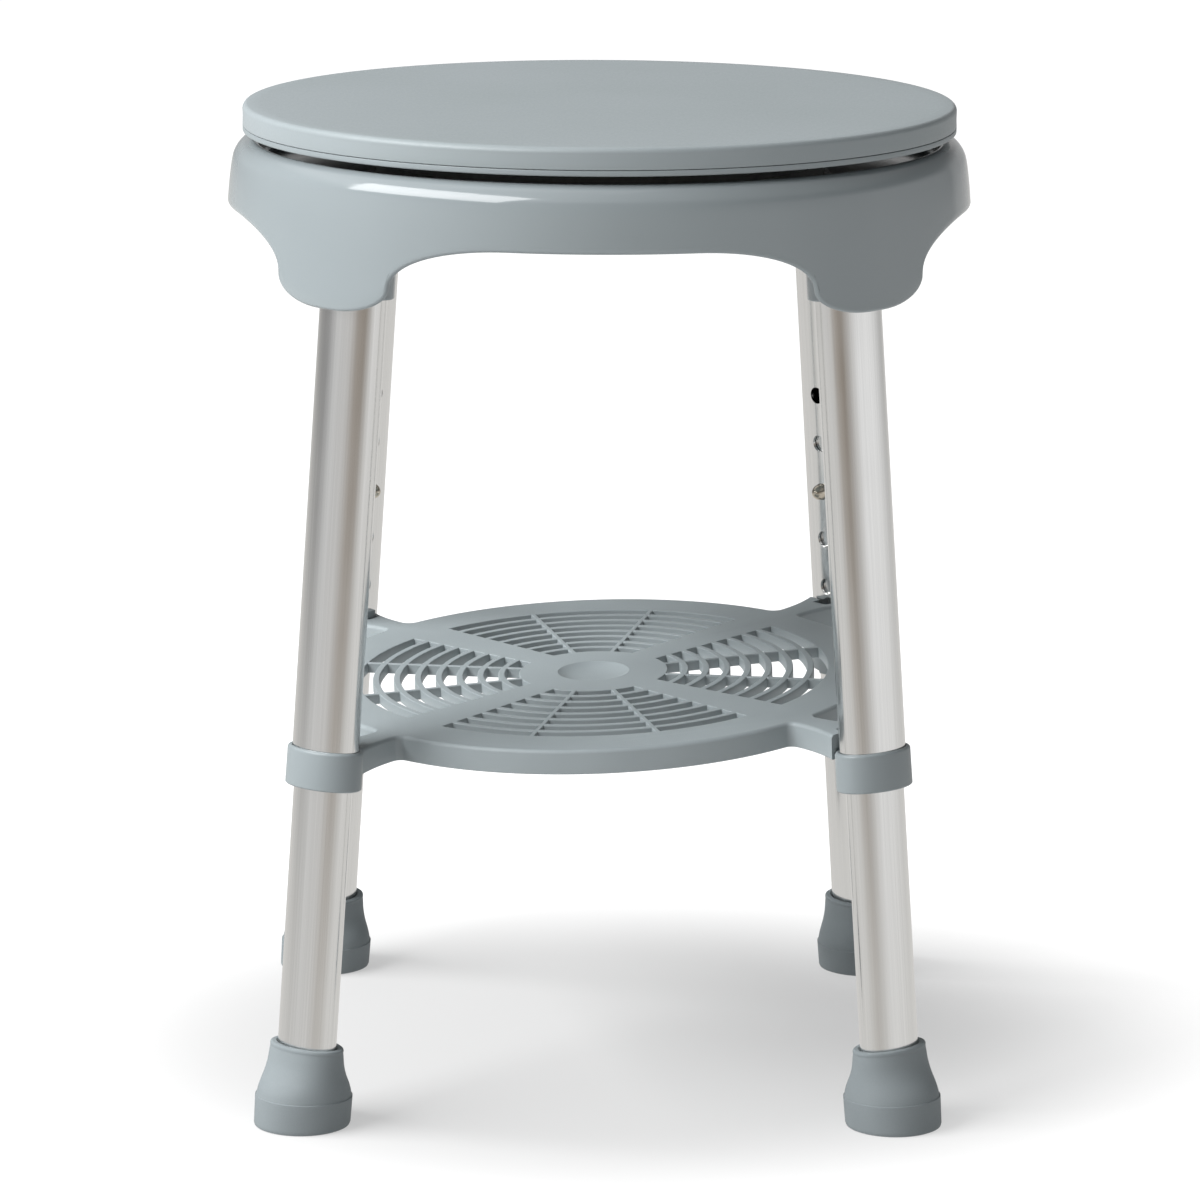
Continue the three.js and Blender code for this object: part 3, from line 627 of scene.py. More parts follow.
def seat_board_profile():
    low, high = size_of("seat_board")
    radius, top, hub_bottom = high.x, high.z, low.z
    plate = top - BOARD_LIP
    boss = size_of("seat_track")[1].z + GAP
    floor = top - RECESS_DEPTH
    profile = [(BOLT_HOLE, hub_bottom), (HUB_RADIUS - 1, hub_bottom), (HUB_RADIUS, hub_bottom + 1)]
    profile += [(HUB_RADIUS, plate), (BOSS_INNER, plate), (BOSS_INNER + 0.5, boss)]
    profile += [(BOSS_OUTER - 0.5, boss), (BOSS_OUTER, plate), (150, plate)]
    profile += quarter(radius - BOARD_LIP_ROUND, plate + BOARD_LIP_ROUND, BOARD_LIP_ROUND, -90, 0, 6)
    profile += quarter(radius - BOARD_TOP_ROUND, top - BOARD_TOP_ROUND, BOARD_TOP_ROUND, 0, 90, 3)
    profile += [(100, top), (RECESS_RADIUS, top), (RECESS_RADIUS, floor), (BOLT_HOLE, floor)]
    return profile


fit(
    "seat_board_moulding", make_mesh("seat_board_moulding", turned(seat_board_profile(), SEAT_COLUMNS)),
    board_plastic, "seat", ["seat_board"],
)

# %% [markdown]
# ## The base
# The base is one glossy moulding: a rim that rolls over into a shallow well, and an outer skirt
# that hangs down in four lobes round the legs. A lathe alone can't make a skirt whose lower edge
# rises and falls, so every ring of the skirt follows the edge's own outline and settles into a
# level ring under the rim. The lower edge is rounded right across the wall.

# %% Lower edge of the skirt
SKIRT_RADIUS = 180.8
SKIRT_EDGE = 425.5
LOBE_EDGE = 391.8
LOBE_BEND = 405
LOBE_HALF_WIDTH = 37.5
LOBE_FLAT = 4.5
LOBE_SWEEP = 60
BASE_WALL = 3.2
EIGHTH_TURN = SKIRT_RADIUS * pi / 4


def half_lobe():
    """The edge from a lobe's middle to the middle of a side, as (run along the edge, height)."""
    points = [(0, LOBE_EDGE), (LOBE_FLAT / 2, LOBE_EDGE)]
    for step in range(13):
        angle = step * pi / 24
        run = LOBE_FLAT + (LOBE_HALF_WIDTH - LOBE_FLAT) * sin(angle)
        points.append((run, LOBE_BEND - (LOBE_BEND - LOBE_EDGE) * cos(angle)))
    for step in range(1, 21):
        angle = step * pi / 40
        run = LOBE_HALF_WIDTH + LOBE_SWEEP * (1 - cos(angle))
        points.append((run, LOBE_BEND + (SKIRT_EDGE - LOBE_BEND) * sin(angle)))
    reach = LOBE_HALF_WIDTH + LOBE_SWEEP
    for step in range(1, 7):
        points.append((reach + (EIGHTH_TURN - reach) * step / 6, SKIRT_EDGE))
    return points


def skirt_edge():
    """The whole lower edge, all the way round."""
    half = half_lobe()
    back = [(2 * EIGHTH_TURN - run, height) for run, height in reversed(half)]
    one_side = half[:-1] + back[:-1]
    return [(run + 2 * EIGHTH_TURN * turn, height) for turn in range(4) for run, height in one_side]


edge_line = skirt_edge()
WAY_ROUND = 8 * EIGHTH_TURN
print("skirt edge:", len(edge_line), "points, from", LOBE_EDGE, "to", SKIRT_EDGE, "mm high")

# %% Rings of the base
def edge_inward():
    """Unit steps into the wall, square to the edge, for each point of it."""
    count = len(edge_line)
    steps = []
    for index in range(count):
        before, after = edge_line[index - 1], edge_line[(index + 1) % count]
        run = (after[0] - before[0]) % WAY_ROUND
        rise = after[1] - before[1]
        length = sqrt(run * run + rise * rise)
        steps.append((-rise / length, run / length))
    return steps


inward = edge_inward()
# (radius, height) of the skirt's outside, over the rim's crest and down into the well.
SHOULDER = [
    (183.6, 384), (182.1, 406), (180.8, 425.5), (179.7, 438), (178.4, 447), (176.9, 451.2),
    (174.2, 454.6), (171.2, 456.1), (168.4, 456.5), (166.2, 455.7), (165, 453.6), (164.4, 450.5),
]
SHOULDER_CURVE = smooth(SHOULDER, 6)
DECK_TOP = 447
DECK_THICKNESS = 3
WALL_TOP = DECK_TOP
WALL_TOP_RADIUS = 178.4


def wall_radius(height):
    """Outer radius of the skirt at a height."""
    for (r1, z1), (r2, z2) in zip(SHOULDER_CURVE, SHOULDER_CURVE[1:]):
        if z1 <= height <= z2:
            return r1 + (r2 - r1) * (height - z1) / (z2 - z1)
    return SHOULDER_CURVE[0][0]


def on_wall(run, height, depth):
    angle = run / SKIRT_RADIUS + pi / 4
    radius = wall_radius(height) - depth
    return (radius * cos(angle), radius * sin(angle), height)


def skirt_ring(share, offset, depth, top):
    """One ring of the skirt: share 0 follows the lower edge at an offset, and share 1 is level at top."""
    ring = []
    for index, ((run, height), (aside, up)) in enumerate(zip(edge_line, inward)):
        level_run = WAY_ROUND * index / len(edge_line)
        low_run, low_height = run + aside * offset, height + up * offset
        run_here = low_run + (level_run - low_run) * share
        height_here = low_height + (top - low_height) * share
        ring.append(on_wall(run_here, height_here, depth))
    return ring


def level_ring(radius, height):
    count = len(edge_line)
    angles = [2 * pi * index / count + pi / 4 for index in range(count)]
    return [(radius * cos(angle), radius * sin(angle), height) for angle in angles]


def base_rings():
    lip = BASE_WALL / 2
    outside = [skirt_ring(share / 9, lip, 0, WALL_TOP) for share in range(9, 0, -1)]
    turns = [radians(22.5 * step) for step in range(9)]
    edge = [skirt_ring(0, lip * (1 - sin(turn)), lip * (1 - cos(turn)), WALL_TOP) for turn in turns]
    inside_top = DECK_TOP - 2 * DECK_THICKNESS
    inside = [skirt_ring(share / 7, lip, BASE_WALL, inside_top) for share in range(1, 8)]
    top, under_top = DECK_TOP, DECK_TOP - DECK_THICKNESS
    under = [(171.5, 443.2), (168, under_top), (80, under_top), (17, under_top)]
    under += [(14.6, 443), (14, 441), (14, 429), (13, 428)]
    bore = [(8.2, 428), (7.3, 429), (7.3, 446.4), (7.9, top)]
    glide = [(30, top), (60, top), (96.7, top), (96.9, 445.5), (109.1, 445.5), (109.3, top)]
    well = [(140, top), (160, top), (162.6, 447.3), (164, 448.6)]
    over_rim = [point for point in SHOULDER_CURVE if point[0] < WALL_TOP_RADIUS and point[1] > top]
    rim = list(reversed(over_rim))
    level = [level_ring(radius, height) for radius, height in under + bore + glide + well + rim]
    return outside + edge + inside + level


# %% [markdown]
# Four sleeves stand in the lobes for the legs, two ribs cross under the deck, and a screw goes
# through each sleeve. The legs' own frames say where: up is against the direction in which a leg
# slides out, and out points away from the middle of the stool.

# %% Leg frames
LEGS = ["front_left", "front_right", "rear_left", "rear_right"]


def leg_frame(leg):
    """Across, out and up, with the origin on the floor, in metres."""
    mounts = {mount["name"]: mount for mount in record["mounts"]}
    joints = {joint["name"]: joint for joint in frame["joints"]}
    foot = Vector(mounts[f"{leg}_foot_floor"]["pos_m"])
    up = -Vector(joints[f"{leg}_leg_slide"]["axis"]).normalized()
    out = Vector((foot.x, foot.y, 0))
    out = (out - up * out.dot(up)).normalized()
    matrix = Matrix((out.cross(up), out, up)).transposed().to_4x4()
    matrix.translation = foot
    return matrix


leg_frames = {leg: leg_frame(leg) for leg in LEGS}


def in_leg(node, leg="front_left"):
    """(lowest, highest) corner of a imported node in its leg's own frame, in millimetres."""
    back = leg_frames[leg].inverted()
    points = [back @ vertex.co / MM for vertex in frame["nodes"][node].data.vertices]
    low = Vector([min(point[axis] for point in points) for axis in range(3)])
    high = Vector([max(point[axis] for point in points) for axis in range(3)])
    return low, high


def along_leg(shape, leg):
    """A shape drawn in millimetres in a leg's frame, in the stool's frame."""
    matrix = leg_frames[leg].copy()
    matrix.translation = matrix.translation / MM
    return moved(shape, matrix)


def oval_solid(half_width, half_depth, low, high, edge=0.0, columns=96):
    """An upright oval bar, with its lower edge rounded by a width."""
    rings = [oval(half_width, half_depth, high, columns)]
    for step in range(5 if edge else 1):
        angle = radians(90 * step / 4)
        inset = edge * (1 - cos(angle))
        rings.append(oval(half_width - inset, half_depth - inset, low + edge * (1 - sin(angle)), columns))
    return skin(rings)


def block(low, high):
    corners = [(x, y, z) for z in (low[2], high[2]) for y in (low[1], high[1]) for x in (low[0], high[0])]
    faces = [(0, 2, 3, 1), (4, 5, 7, 6), (0, 1, 5, 4), (2, 6, 7, 3), (0, 4, 6, 2), (1, 3, 7, 5)]
    return corners, faces


def rod_inward(radius, start, stop, height, columns=40):
    """A round bar that points at the stool's middle, from one distance off the leg's axis to another."""
    rings = []
    for reach in (start, stop):
        angles = [2 * pi * column / columns for column in range(columns)]
        rings.append([(radius * cos(a), -reach, height + radius * sin(a)) for a in angles])
    return skin(rings)


tube_low, tube_high = in_leg("front_left_upper_leg")
tube_half = (tube_high.x, tube_high.y)
print("upper tube:", [round(2 * half, 1) for half in tube_half], "mm, up to", round(tube_high.z, 1))

# %% Base moulding
SLEEVE_WALL = 3.2
SLEEVE_BOTTOM = 398
SLEEVE_TOP = 446.5
SLEEVE_EDGE = 1.2
BORE_START = 370
RIB_LOW = (-145, -1.5, 432)
RIB_HIGH = (145, 1.5, 445)
LEG_SCREW_AT = 424
LEG_SCREW_HOLE = 2.3


def base_mesh():
    mesh = make_mesh("base_moulding", skin(base_rings(), closed=True))
    wide, deep = (half + SLEEVE_WALL for half in tube_half)
    for turn in (pi / 4, -pi / 4):
        rib = moved(block(RIB_LOW, RIB_HIGH), Matrix.Rotation(turn, 4, "Z"))
        mesh = carve(mesh, rib, "UNION")
    sleeve = oval_solid(wide, deep, SLEEVE_BOTTOM, SLEEVE_TOP, SLEEVE_EDGE)
    mesh = carve(mesh, gather(*(along_leg(sleeve, leg) for leg in LEGS)), "UNION")
    wide, deep = (half + GAP for half in tube_half)
    bore = oval_solid(wide, deep, BORE_START, tube_high.z + GAP)
    screw_hole = rod_inward(LEG_SCREW_HOLE, 12, 24, LEG_SCREW_AT)
    bores = [along_leg(bore, leg) for leg in LEGS]
    screw_holes = [along_leg(screw_hole, leg) for leg in LEGS]
    return carve(mesh, gather(*bores, *screw_holes))


fit("base_moulding", base_mesh(), gloss_plastic, "root", ["base_frame"])

# %% [markdown]
# ## The legs
# Each leg is two oval tubes that slide in each other. The upper tube has five holes on its inner
# face, and the snap button of the lower tube sits in one of them. All four legs are alike in
# their own frames, so one mesh serves them all.

# %% Tubes
TUBE_WALL = 1.5
LOWER_WALL = 1.4
TUBE_BURR = 0.2
TUBE_COLUMNS = 168
HOLE_COUNT = 5
HOLE_RADIUS = 4.25
HOLE_PITCH = 25.4
TOP_HOLE = 311.8
BUTTON_AT = TOP_HOLE - 2 * HOLE_PITCH
THROUGH_WALL = (4, 16)  # a drill that passes the inner wall and stops inside the tube
lower_low, lower_high = in_leg("front_left_lower_leg")
lower_half = (lower_high.x, lower_high.y)


def tube_shape(half, wall, low, high):
    """An oval tube with its cut ends deburred."""
    burr = TUBE_BURR
    line = [(-burr, low), (0, low + burr), (0, high - burr), (-burr, high)]
    line += [(burr - wall, high), (-wall, high - burr), (-wall, low + burr), (burr - wall, low)]
    return skin([oval(half[0] + off, half[1] + off, z, TUBE_COLUMNS) for off, z in line], closed=True)


def button_hole(height):
    return rod_inward(HOLE_RADIUS, *THROUGH_WALL, height, 48)


def upper_tube():
    mesh = make_mesh("upper_tube", tube_shape(tube_half, TUBE_WALL, tube_low.z, tube_high.z))
    holes = [button_hole(TOP_HOLE - number * HOLE_PITCH) for number in range(HOLE_COUNT)]
    return carve(mesh, gather(*holes, rod_inward(LEG_SCREW_HOLE, *THROUGH_WALL, LEG_SCREW_AT)))


def lower_tube():
    mesh = make_mesh("lower_tube", tube_shape(lower_half, LOWER_WALL, lower_low.z, lower_high.z))
    return carve(mesh, button_hole(BUTTON_AT))


upper_mesh, lower_mesh = upper_tube(), lower_tube()
for leg in LEGS:
    place = leg_frames[leg]
    upper_name, lower_name = f"{leg}_upper_tube", f"{leg}_lower_tube"
    fit(upper_name, upper_mesh, leg_aluminium, "root", [f"{leg}_upper_leg"], place)
    lower_body, lower_node = f"{leg}_lower", f"{leg}_lower_leg"
    fit(lower_name, lower_mesh, leg_aluminium, lower_body, [lower_node], place)

# %% [markdown]
# ## Collars
# A moulded collar closes each upper tube and guides the lower one. It is drawn as a closed
# outline offset from the tube and swept round the oval: a straight side with a little draft, a
# rounded top edge and a step inside. A tongue on its inner face holds the shelf.

# %% Collars
COLLAR_WALL = 2.4
COLLAR_TOP = 182.8
COLLAR_TOP_ROUND = 1.5
COLLAR_DRAFT = 0.15
COLLAR_EDGE = 0.5
TONGUE_HALF = 4
TONGUE_DEPTH = 18
TONGUE_ROUND = 0.8


def collar_outline(bottom):
    """(distance off the upper tube's surface, height) round the collar's wall."""
    top, step = COLLAR_TOP, tube_low.z - GAP
    inner = lower_half[0] - tube_half[0] + GAP
    line = [(inner, bottom + 0.4), (inner + 0.4, bottom)]
    line += [(COLLAR_WALL - COLLAR_EDGE, bottom), (COLLAR_WALL, bottom + COLLAR_EDGE)]
    turn = COLLAR_TOP_ROUND
    line += quarter(COLLAR_WALL - COLLAR_DRAFT - turn, top - turn, turn, 0, 90, 6)
    return line + [(0.5, top), (GAP, top - 0.2), (GAP, step), (inner, step)]


def collar_mesh():
    low, high = in_leg("front_left_collar")
    rings = []
    for off, height in collar_outline(low.z):
        rings.append(oval(tube_half[0] + off, tube_half[1] + off, height, TUBE_COLUMNS))
    collar = make_mesh("collar", skin(rings, closed=True))
    near = -tube_half[1] - GAP
    blank = block((-TONGUE_HALF, -TONGUE_DEPTH, low.z), (TONGUE_HALF, near, high.z))
    tongue = rounded(make_mesh("tongue", blank), TONGUE_ROUND)
    points = [vertex.co / MM for vertex in tongue.vertices]
    faces = [tuple(polygon.vertices) for polygon in tongue.polygons]
    return carve(collar, (points, faces), "UNION")


collar = collar_mesh()
for leg in LEGS:
    name, place = f"{leg}_collar_ring", leg_frames[leg]
    fit(name, collar, collar_plastic, "root", [f"{leg}_collar"], place)

# %% [markdown]
# ## Rubber feet
# A foot is round on the floor and oval where it grips the tube, so each ring has its own half
# width and half depth. The floor ring must be level although the leg leans: the lower rings are
# tilted by the leg's lean, and the tilt fades out towards the rim. Grooves in the sole give grip,
# and a small step runs round above the tread.

# %% Feet
FOOT_RIM = 38.8
FOOT_FLOOR = 6.3
FOOT_COLUMNS = 96
# (height, half width, half depth) up the outside.
FOOT_ROWS = [
    (1.3, 23.1, 23.1), (7, 23.2, 23.2), (13.6, 23.3, 23.3), (14.1, 23.2, 23.2), (14.4, 22.85, 22.8),
    (15.2, 22.7, 22.6), (17.8, 22.3, 21.9), (21, 21.75, 20.4), (25, 21.1, 18.1), (29.4, 20.65, 16.2),
    (34, 20.4, 15.2), (36.6, 20.2, 14.75), (37.2, 20.3, 14.8), (37.9, 20.3, 14.8),
]
GROOVES = (9.0, 14.2, 19.4)
GROOVE_LINE = ((-0.9, 0), (-0.6, 0.9), (0.6, 0.9), (0.9, 0))  # (off the groove's radius, height)
leg_lean = asin((leg_frames["front_left"].to_3x3().inverted() @ Vector((0, 0, 1))).y)


def foot_ring(height, half_width, half_depth):
    """A ring round the leg, level at the floor and square to the leg at the rim."""
    share = height / FOOT_RIM
    tilt = -leg_lean * (1 - share)
    ring = []
    for column in range(FOOT_COLUMNS):
        angle = 2 * pi * column / FOOT_COLUMNS
        reach = half_depth * sin(angle)
        ring.append((half_width * cos(angle), reach * cos(tilt), height + reach * sin(tilt)))
    return ring


def foot_mesh():
    rings = []
    for radius in GROOVES:
        for step, height in GROOVE_LINE:
            rings.append(foot_ring(height, radius + step, radius + step))
    rings.append(foot_ring(0, 21.9, 21.9))
    rings.append(foot_ring(0.35, 22.75, 22.75))
    rings += [foot_ring(*row) for row in smooth(FOOT_ROWS, 4)]
    rings += [foot_ring(FOOT_RIM - 0.35, 20.05, 14.55), foot_ring(FOOT_RIM, 19.5, 14)]
    bore = [half + GAP for half in lower_half]
    rings += [foot_ring(FOOT_RIM, bore[0] + 0.7, bore[1] + 0.7), foot_ring(FOOT_RIM - 0.6, *bore)]
    rings += [oval(*bore, FOOT_FLOOR + 4, FOOT_COLUMNS), oval(*bore, FOOT_FLOOR, FOOT_COLUMNS)]
    return make_mesh("rubber_foot", skin(rings))


foot = foot_mesh()
for leg in LEGS:
    standing = foot.copy()
    standing.transform(leg_frames[leg])
    fit(f"{leg}_rubber_foot", standing, foot_rubber, f"{leg}_lower", [f"{leg}_foot"])

# %% [markdown]
# ## Buttons, springs and screws
# Small turned parts carry a surprising share of the realism. The button is a pin with a domed
# nose, and the spring is a strip bent into a U behind it. The screws have a cross recess, cut
# with two small wedges.

# %% Snap buttons
BUTTON_RADIUS = 3.95
BUTTON_FLANGE = 5.4
RECESS_CUT = 1.3
SPRING_THICKNESS = 0.7
# (across, through) round the strip's cross-section, whose corners are cut off.
SPRING_SECTION = [
    (-3.8, -0.35), (3.8, -0.35), (4, -0.15), (4, 0.15), (3.8, 0.35), (-3.8, 0.35), (-4, 0.15), (-4, -0.15),
]


def facing_inward(shape, height):
    """Lays a shape turned about Z along the leg's inward direction."""
    lay = Matrix(((1, 0, 0, 0), (0, 0, -1, 0), (0, 1, 0, height), (0, 0, 0, 1)))
    return moved(shape, lay)


def button_mesh():
    low, high = in_leg("front_left_snap_button")
    tip, back = -low.y, -high.y
    pin, flange = BUTTON_RADIUS, BUTTON_FLANGE
    profile = [(0, back), (flange - 0.2, back), (flange, back + 0.2), (flange, back + 0.8)]
    profile.append((pin, back + 0.8))
    dome = [(pin, tip - 4.6), (3.8, tip - 3.6), (3.3, tip - 2.4), (2.3, tip - 1.1)]
    dome += [(1.2, tip - 0.3), (0, tip)]
    return make_mesh("snap_button", facing_inward(turned(profile + smooth(dome, 3), 48), BUTTON_AT))


def cross_bars(half, half_width, start, stop):
    """The two flat bars that cut a cross recess, one across and one upright, along -Y."""
    return [
        block((-half, -start, -half_width), (half, -stop, half_width)),
        block((-half_width, -start, -half), (half_width, -stop, half)),
    ]


def screw_mesh():
    head = -in_leg("front_left_leg_screw")[0].y
    profile = [(0, 10.4), (1.9, 11), (1.9, 16.5), (3.9, 16.5), (4, 16.8), (3.8, 17.4), (3.1, 18.1)]
    profile += [(1.8, head), (0, head)]
    mesh = make_mesh("leg_screw", facing_inward(turned(profile, 40), LEG_SCREW_AT))
    for bar in cross_bars(1.9, 0.35, head + 1, head - RECESS_CUT):
        mesh = carve(mesh, moved(bar, Matrix.Translation((0, 0, LEG_SCREW_AT))))
    return mesh


def spring_mesh():
    low, high = in_leg("front_left_button_spring")
    half_gap = high.y - SPRING_THICKNESS / 2
    bend = high.z - high.y
    line = [(-half_gap, low.z), (-half_gap, bend)]
    for step in range(1, 24):
        angle = pi * step / 24
        line.append((-half_gap * cos(angle), bend + half_gap * sin(angle)))
    line += [(half_gap, bend), (half_gap, low.z)]
    rings = []
    for index, (y, z) in enumerate(line):
        before, after = line[max(index - 1, 0)], line[min(index + 1, len(line) - 1)]
        along = Vector((after[0] - before[0], after[1] - before[1])).normalized()
        rings.append([(side, y - along.y * off, z + along.x * off) for side, off in SPRING_SECTION])
    return make_mesh("button_spring", skin(rings))


button, screw, spring = button_mesh(), screw_mesh(), spring_mesh()
for leg in LEGS:
    place = leg_frames[leg]
    pin_name, screw_name, spring_name = f"{leg}_button_pin", f"{leg}_cross_screw", f"{leg}_spring_strip"
    button_body, spring_body = f"{leg}_button", f"{leg}_lower"
    fit(pin_name, button, nickel, button_body, [f"{leg}_snap_button"], place)
    fit(screw_name, screw, stainless, "root", [f"{leg}_leg_screw"], place)
    fit(spring_name, spring, spring_steel, spring_body, [f"{leg}_button_spring"], place)

# %% [markdown]
# ## The shelf
# The shelf is a round grille with four ears that fit round the legs. It is drawn level first: an
# outline of arcs and flared ears with rounded corners becomes a shallow tray turned upside down,
# with a soft top edge. Curved slots are cut in rows, leaving two ribs in each sector and a solid
# band between the sectors, and a small dish in the middle. Then it is leaned to the plane of the
# packed shelf, and room for the legs and collars is cut out.

# %% Shelf plane and outline
SHELF_RADIUS = 140.4
SHELF_DEPTH = 12.1
SHELF_PLATE = 5
SHELF_WALL = 3
SHELF_TOP_ROUND = 2.2
SHELF_FOOT_CHAMFER = 0.4
EAR_NECK = 7.5
EAR_FLARE = 12.8
EAR_FILLET = 4
EAR_END = 171.5
EAR_POCKET_END = 158
CORNER_STEPS = 12
NEARLY_UP = 0.99  # a face that points up this much is part of the top
# The rounded corner between the disc and an ear turns about this point, along and aside the ear.
CORNER_ASIDE = EAR_NECK + EAR_FILLET
CORNER_ALONG = sqrt((SHELF_RADIUS + EAR_FILLET) ** 2 - CORNER_ASIDE ** 2)
CORNER_TURN = asin(CORNER_ASIDE / (SHELF_RADIUS + EAR_FILLET))


def shelf_frame():
    """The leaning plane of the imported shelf's top: across, back and up from its middle, in mm."""
    mesh = frame["nodes"]["shelf"].data
    up = Vector((0, 0, 0))
    for polygon in mesh.polygons:
        if polygon.normal.z > NEARLY_UP:
            up += polygon.normal * polygon.area
    up.normalize()
    top = max(vertex.co.dot(up) for vertex in mesh.vertices)
    low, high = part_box("shelf")
    middle = (low + high) / 2
    height = (top - middle.x * up.x - middle.y * up.y) / up.z
    back = up.cross(Vector((1, 0, 0))).normalized()
    matrix = Matrix((back.cross(up), back, up)).transposed().to_4x4()
    matrix.translation = Vector((middle.x, middle.y, height)) / MM
    return matrix


shelf_place = shelf_frame()
print("shelf middle:", [round(value, 2) for value in shelf_place.translation], "mm")


def ear_side(side, inset, end):
    """One side of an ear: from the disc, round the corner and out to its end, drawn in by an inset."""
    reach = EAR_FILLET + inset
    points = []
    for step in range(CORNER_STEPS - 1, -1, -1):
        angle = pi / 2 + (pi / 2 - CORNER_TURN) * step / CORNER_STEPS
        points.append((CORNER_ALONG + reach * cos(angle), side * (CORNER_ASIDE - reach * sin(angle))))
    for step in range(1, 9):
        along = CORNER_ALONG + (end - CORNER_ALONG) * step / 8
        share = (along - CORNER_ALONG) / (EAR_END - CORNER_ALONG)
        points.append((along, side * (EAR_NECK - inset + (EAR_FLARE - EAR_NECK) * share**2)))
    return points


def shelf_outline(inset, end):
    """The outline, drawn in by an inset all round."""
    radius = SHELF_RADIUS - inset
    points = []
    for turn in range(4):
        diagonal = turn * pi / 2 + pi / 4
        x, y = cos(diagonal), sin(diagonal)
        for along, aside in ear_side(-1, inset, end) + list(reversed(ear_side(1, inset, end))):
            points.append((along * x - aside * y, along * y + aside * x))
        sweep = pi / 2 - 2 * CORNER_TURN
        angles = [diagonal + CORNER_TURN + sweep * step / 48 for step in range(49)]
        points += [(radius * cos(angle), radius * sin(angle)) for angle in angles]
    return points


def outline_ring(inset, height, end):
    return [(x, y, height) for x, y in shelf_outline(inset, end)]


def shelf_blank():
    """The solid blank: a small chamfer below, the side, the soft top edge and the top."""
    levels = [(SHELF_FOOT_CHAMFER, -SHELF_DEPTH), (0, -SHELF_DEPTH + SHELF_FOOT_CHAMFER)]
    for step in range(7):
        turn = radians(90 * step / 6)
        levels.append((SHELF_TOP_ROUND * (1 - cos(turn)), -SHELF_TOP_ROUND * (1 - sin(turn))))
    return make_mesh("shelf_grille", skin([outline_ring(*level, EAR_END) for level in levels]))


# %% Slots and dish
PAST_PLATE = 5  # how far a cutter stands out of the plate
SLOT_ROWS = 8
SLOT_WIDTH = 7
SLOT_FIRST = 36.9
SLOT_PITCH = 10.36
SLOT_RIB_ANGLE = radians(15)
SLOT_RIB_HALF = 1.2
SLOT_EDGE_ROUND = 0.5
BAND_HALF_INNER = 8.3
BAND_HALF_OUTER = 12.5
DISH_RADIUS = 17.8
DISH_DEPTH = 3.4
DISH_WALL = 3


def band_half_angle(radius):
    """Angle from a sector's middle at which a slot stops beside the solid band."""
    share = (radius - SLOT_FIRST) / (SLOT_ROWS * SLOT_PITCH)
    return pi / 4 - asin((BAND_HALF_INNER + (BAND_HALF_OUTER - BAND_HALF_INNER) * share) / radius)


def slot_ring(inner, start, stop, steps, wider, height):
    """The outline of a curved slot, widened all round. start and stop give the angle at a radius."""
    outer = inner + SLOT_WIDTH + wider
    inner = inner - wider
    ring = []
    for step in range(steps + 1):
        share = step / steps
        first, last = start(outer) - wider / outer, stop(outer) + wider / outer
        ring.append((outer, first + (last - first) * share))
    for step in range(steps + 1):
        share = step / steps
        first, last = stop(inner) + wider / inner, start(inner) - wider / inner
        ring.append((inner, first + (last - first) * share))
    return [(radius * cos(angle), radius * sin(angle), height) for radius, angle in ring]


def slot_shape(inner, start, stop, steps):
    """A closed bar through the plate that flares at the top, so that it leaves a rounded edge."""
    soft = SLOT_EDGE_ROUND
    rings = [slot_ring(inner, start, stop, steps, 0, -SHELF_DEPTH - PAST_PLATE)]
    for step in range(5):
        turn = radians(90 * step / 4)
        rings.append(slot_ring(inner, start, stop, steps, soft * (1 - cos(turn)), soft * (sin(turn) - 1)))
    rings.append(slot_ring(inner, start, stop, steps, soft, PAST_PLATE))
    return skin(rings)


def row_slots(sector, inner):
    """The three slots of one row in one sector."""
    def at(sign, angle, offset):
        return lambda radius: sector + sign * (angle(radius) + offset / radius)

    def rib(radius):
        return SLOT_RIB_ANGLE

    middle = slot_shape(inner, at(-1, rib, -SLOT_RIB_HALF), at(1, rib, -SLOT_RIB_HALF), 10)
    left = slot_shape(inner, at(1, rib, SLOT_RIB_HALF), at(1, band_half_angle, 0), 8)
    right = slot_shape(inner, at(-1, band_half_angle, 0), at(-1, rib, SLOT_RIB_HALF), 8)
    return [middle, left, right]


def all_slots():
    slots = []
    for turn in range(4):
        for row in range(SLOT_ROWS):
            slots += row_slots(turn * pi / 2, SLOT_FIRST + row * SLOT_PITCH)
    return gather(*slots)


def dish_cutter():
    """A shallow bowl whose wall gets steeper towards its edge."""
    shares = [step / 16 for step in range(17)]
    profile = [(DISH_RADIUS * share, -DISH_DEPTH * (1 - share**3)) for share in shares]
    return turned(profile + [(DISH_RADIUS, PAST_PLATE), (0, PAST_PLATE)])


slot_shapes = all_slots()
print("slots:", len(slot_shapes[0]), "points")

# %% Shelf grille
EAR_CLEARANCE = 0.7
NOTCH_BOTTOM = 130
NOTCH_TOP = 240
FLAT_ANGLE = 9  # degrees; a larger one would blend the flat top into the slots' soft edges


def hollow_below():
    heights = (-30, -SHELF_PLATE)
    return skin([outline_ring(SHELF_WALL, height, EAR_POCKET_END) for height in heights])


def dish_boss():
    """The thicker plate under the dish."""
    radius, low, high = DISH_RADIUS + DISH_WALL, -SHELF_PLATE - DISH_WALL, -SHELF_PLATE + 1
    return turned([(0, low), (radius, low), (radius, high), (0, high)])


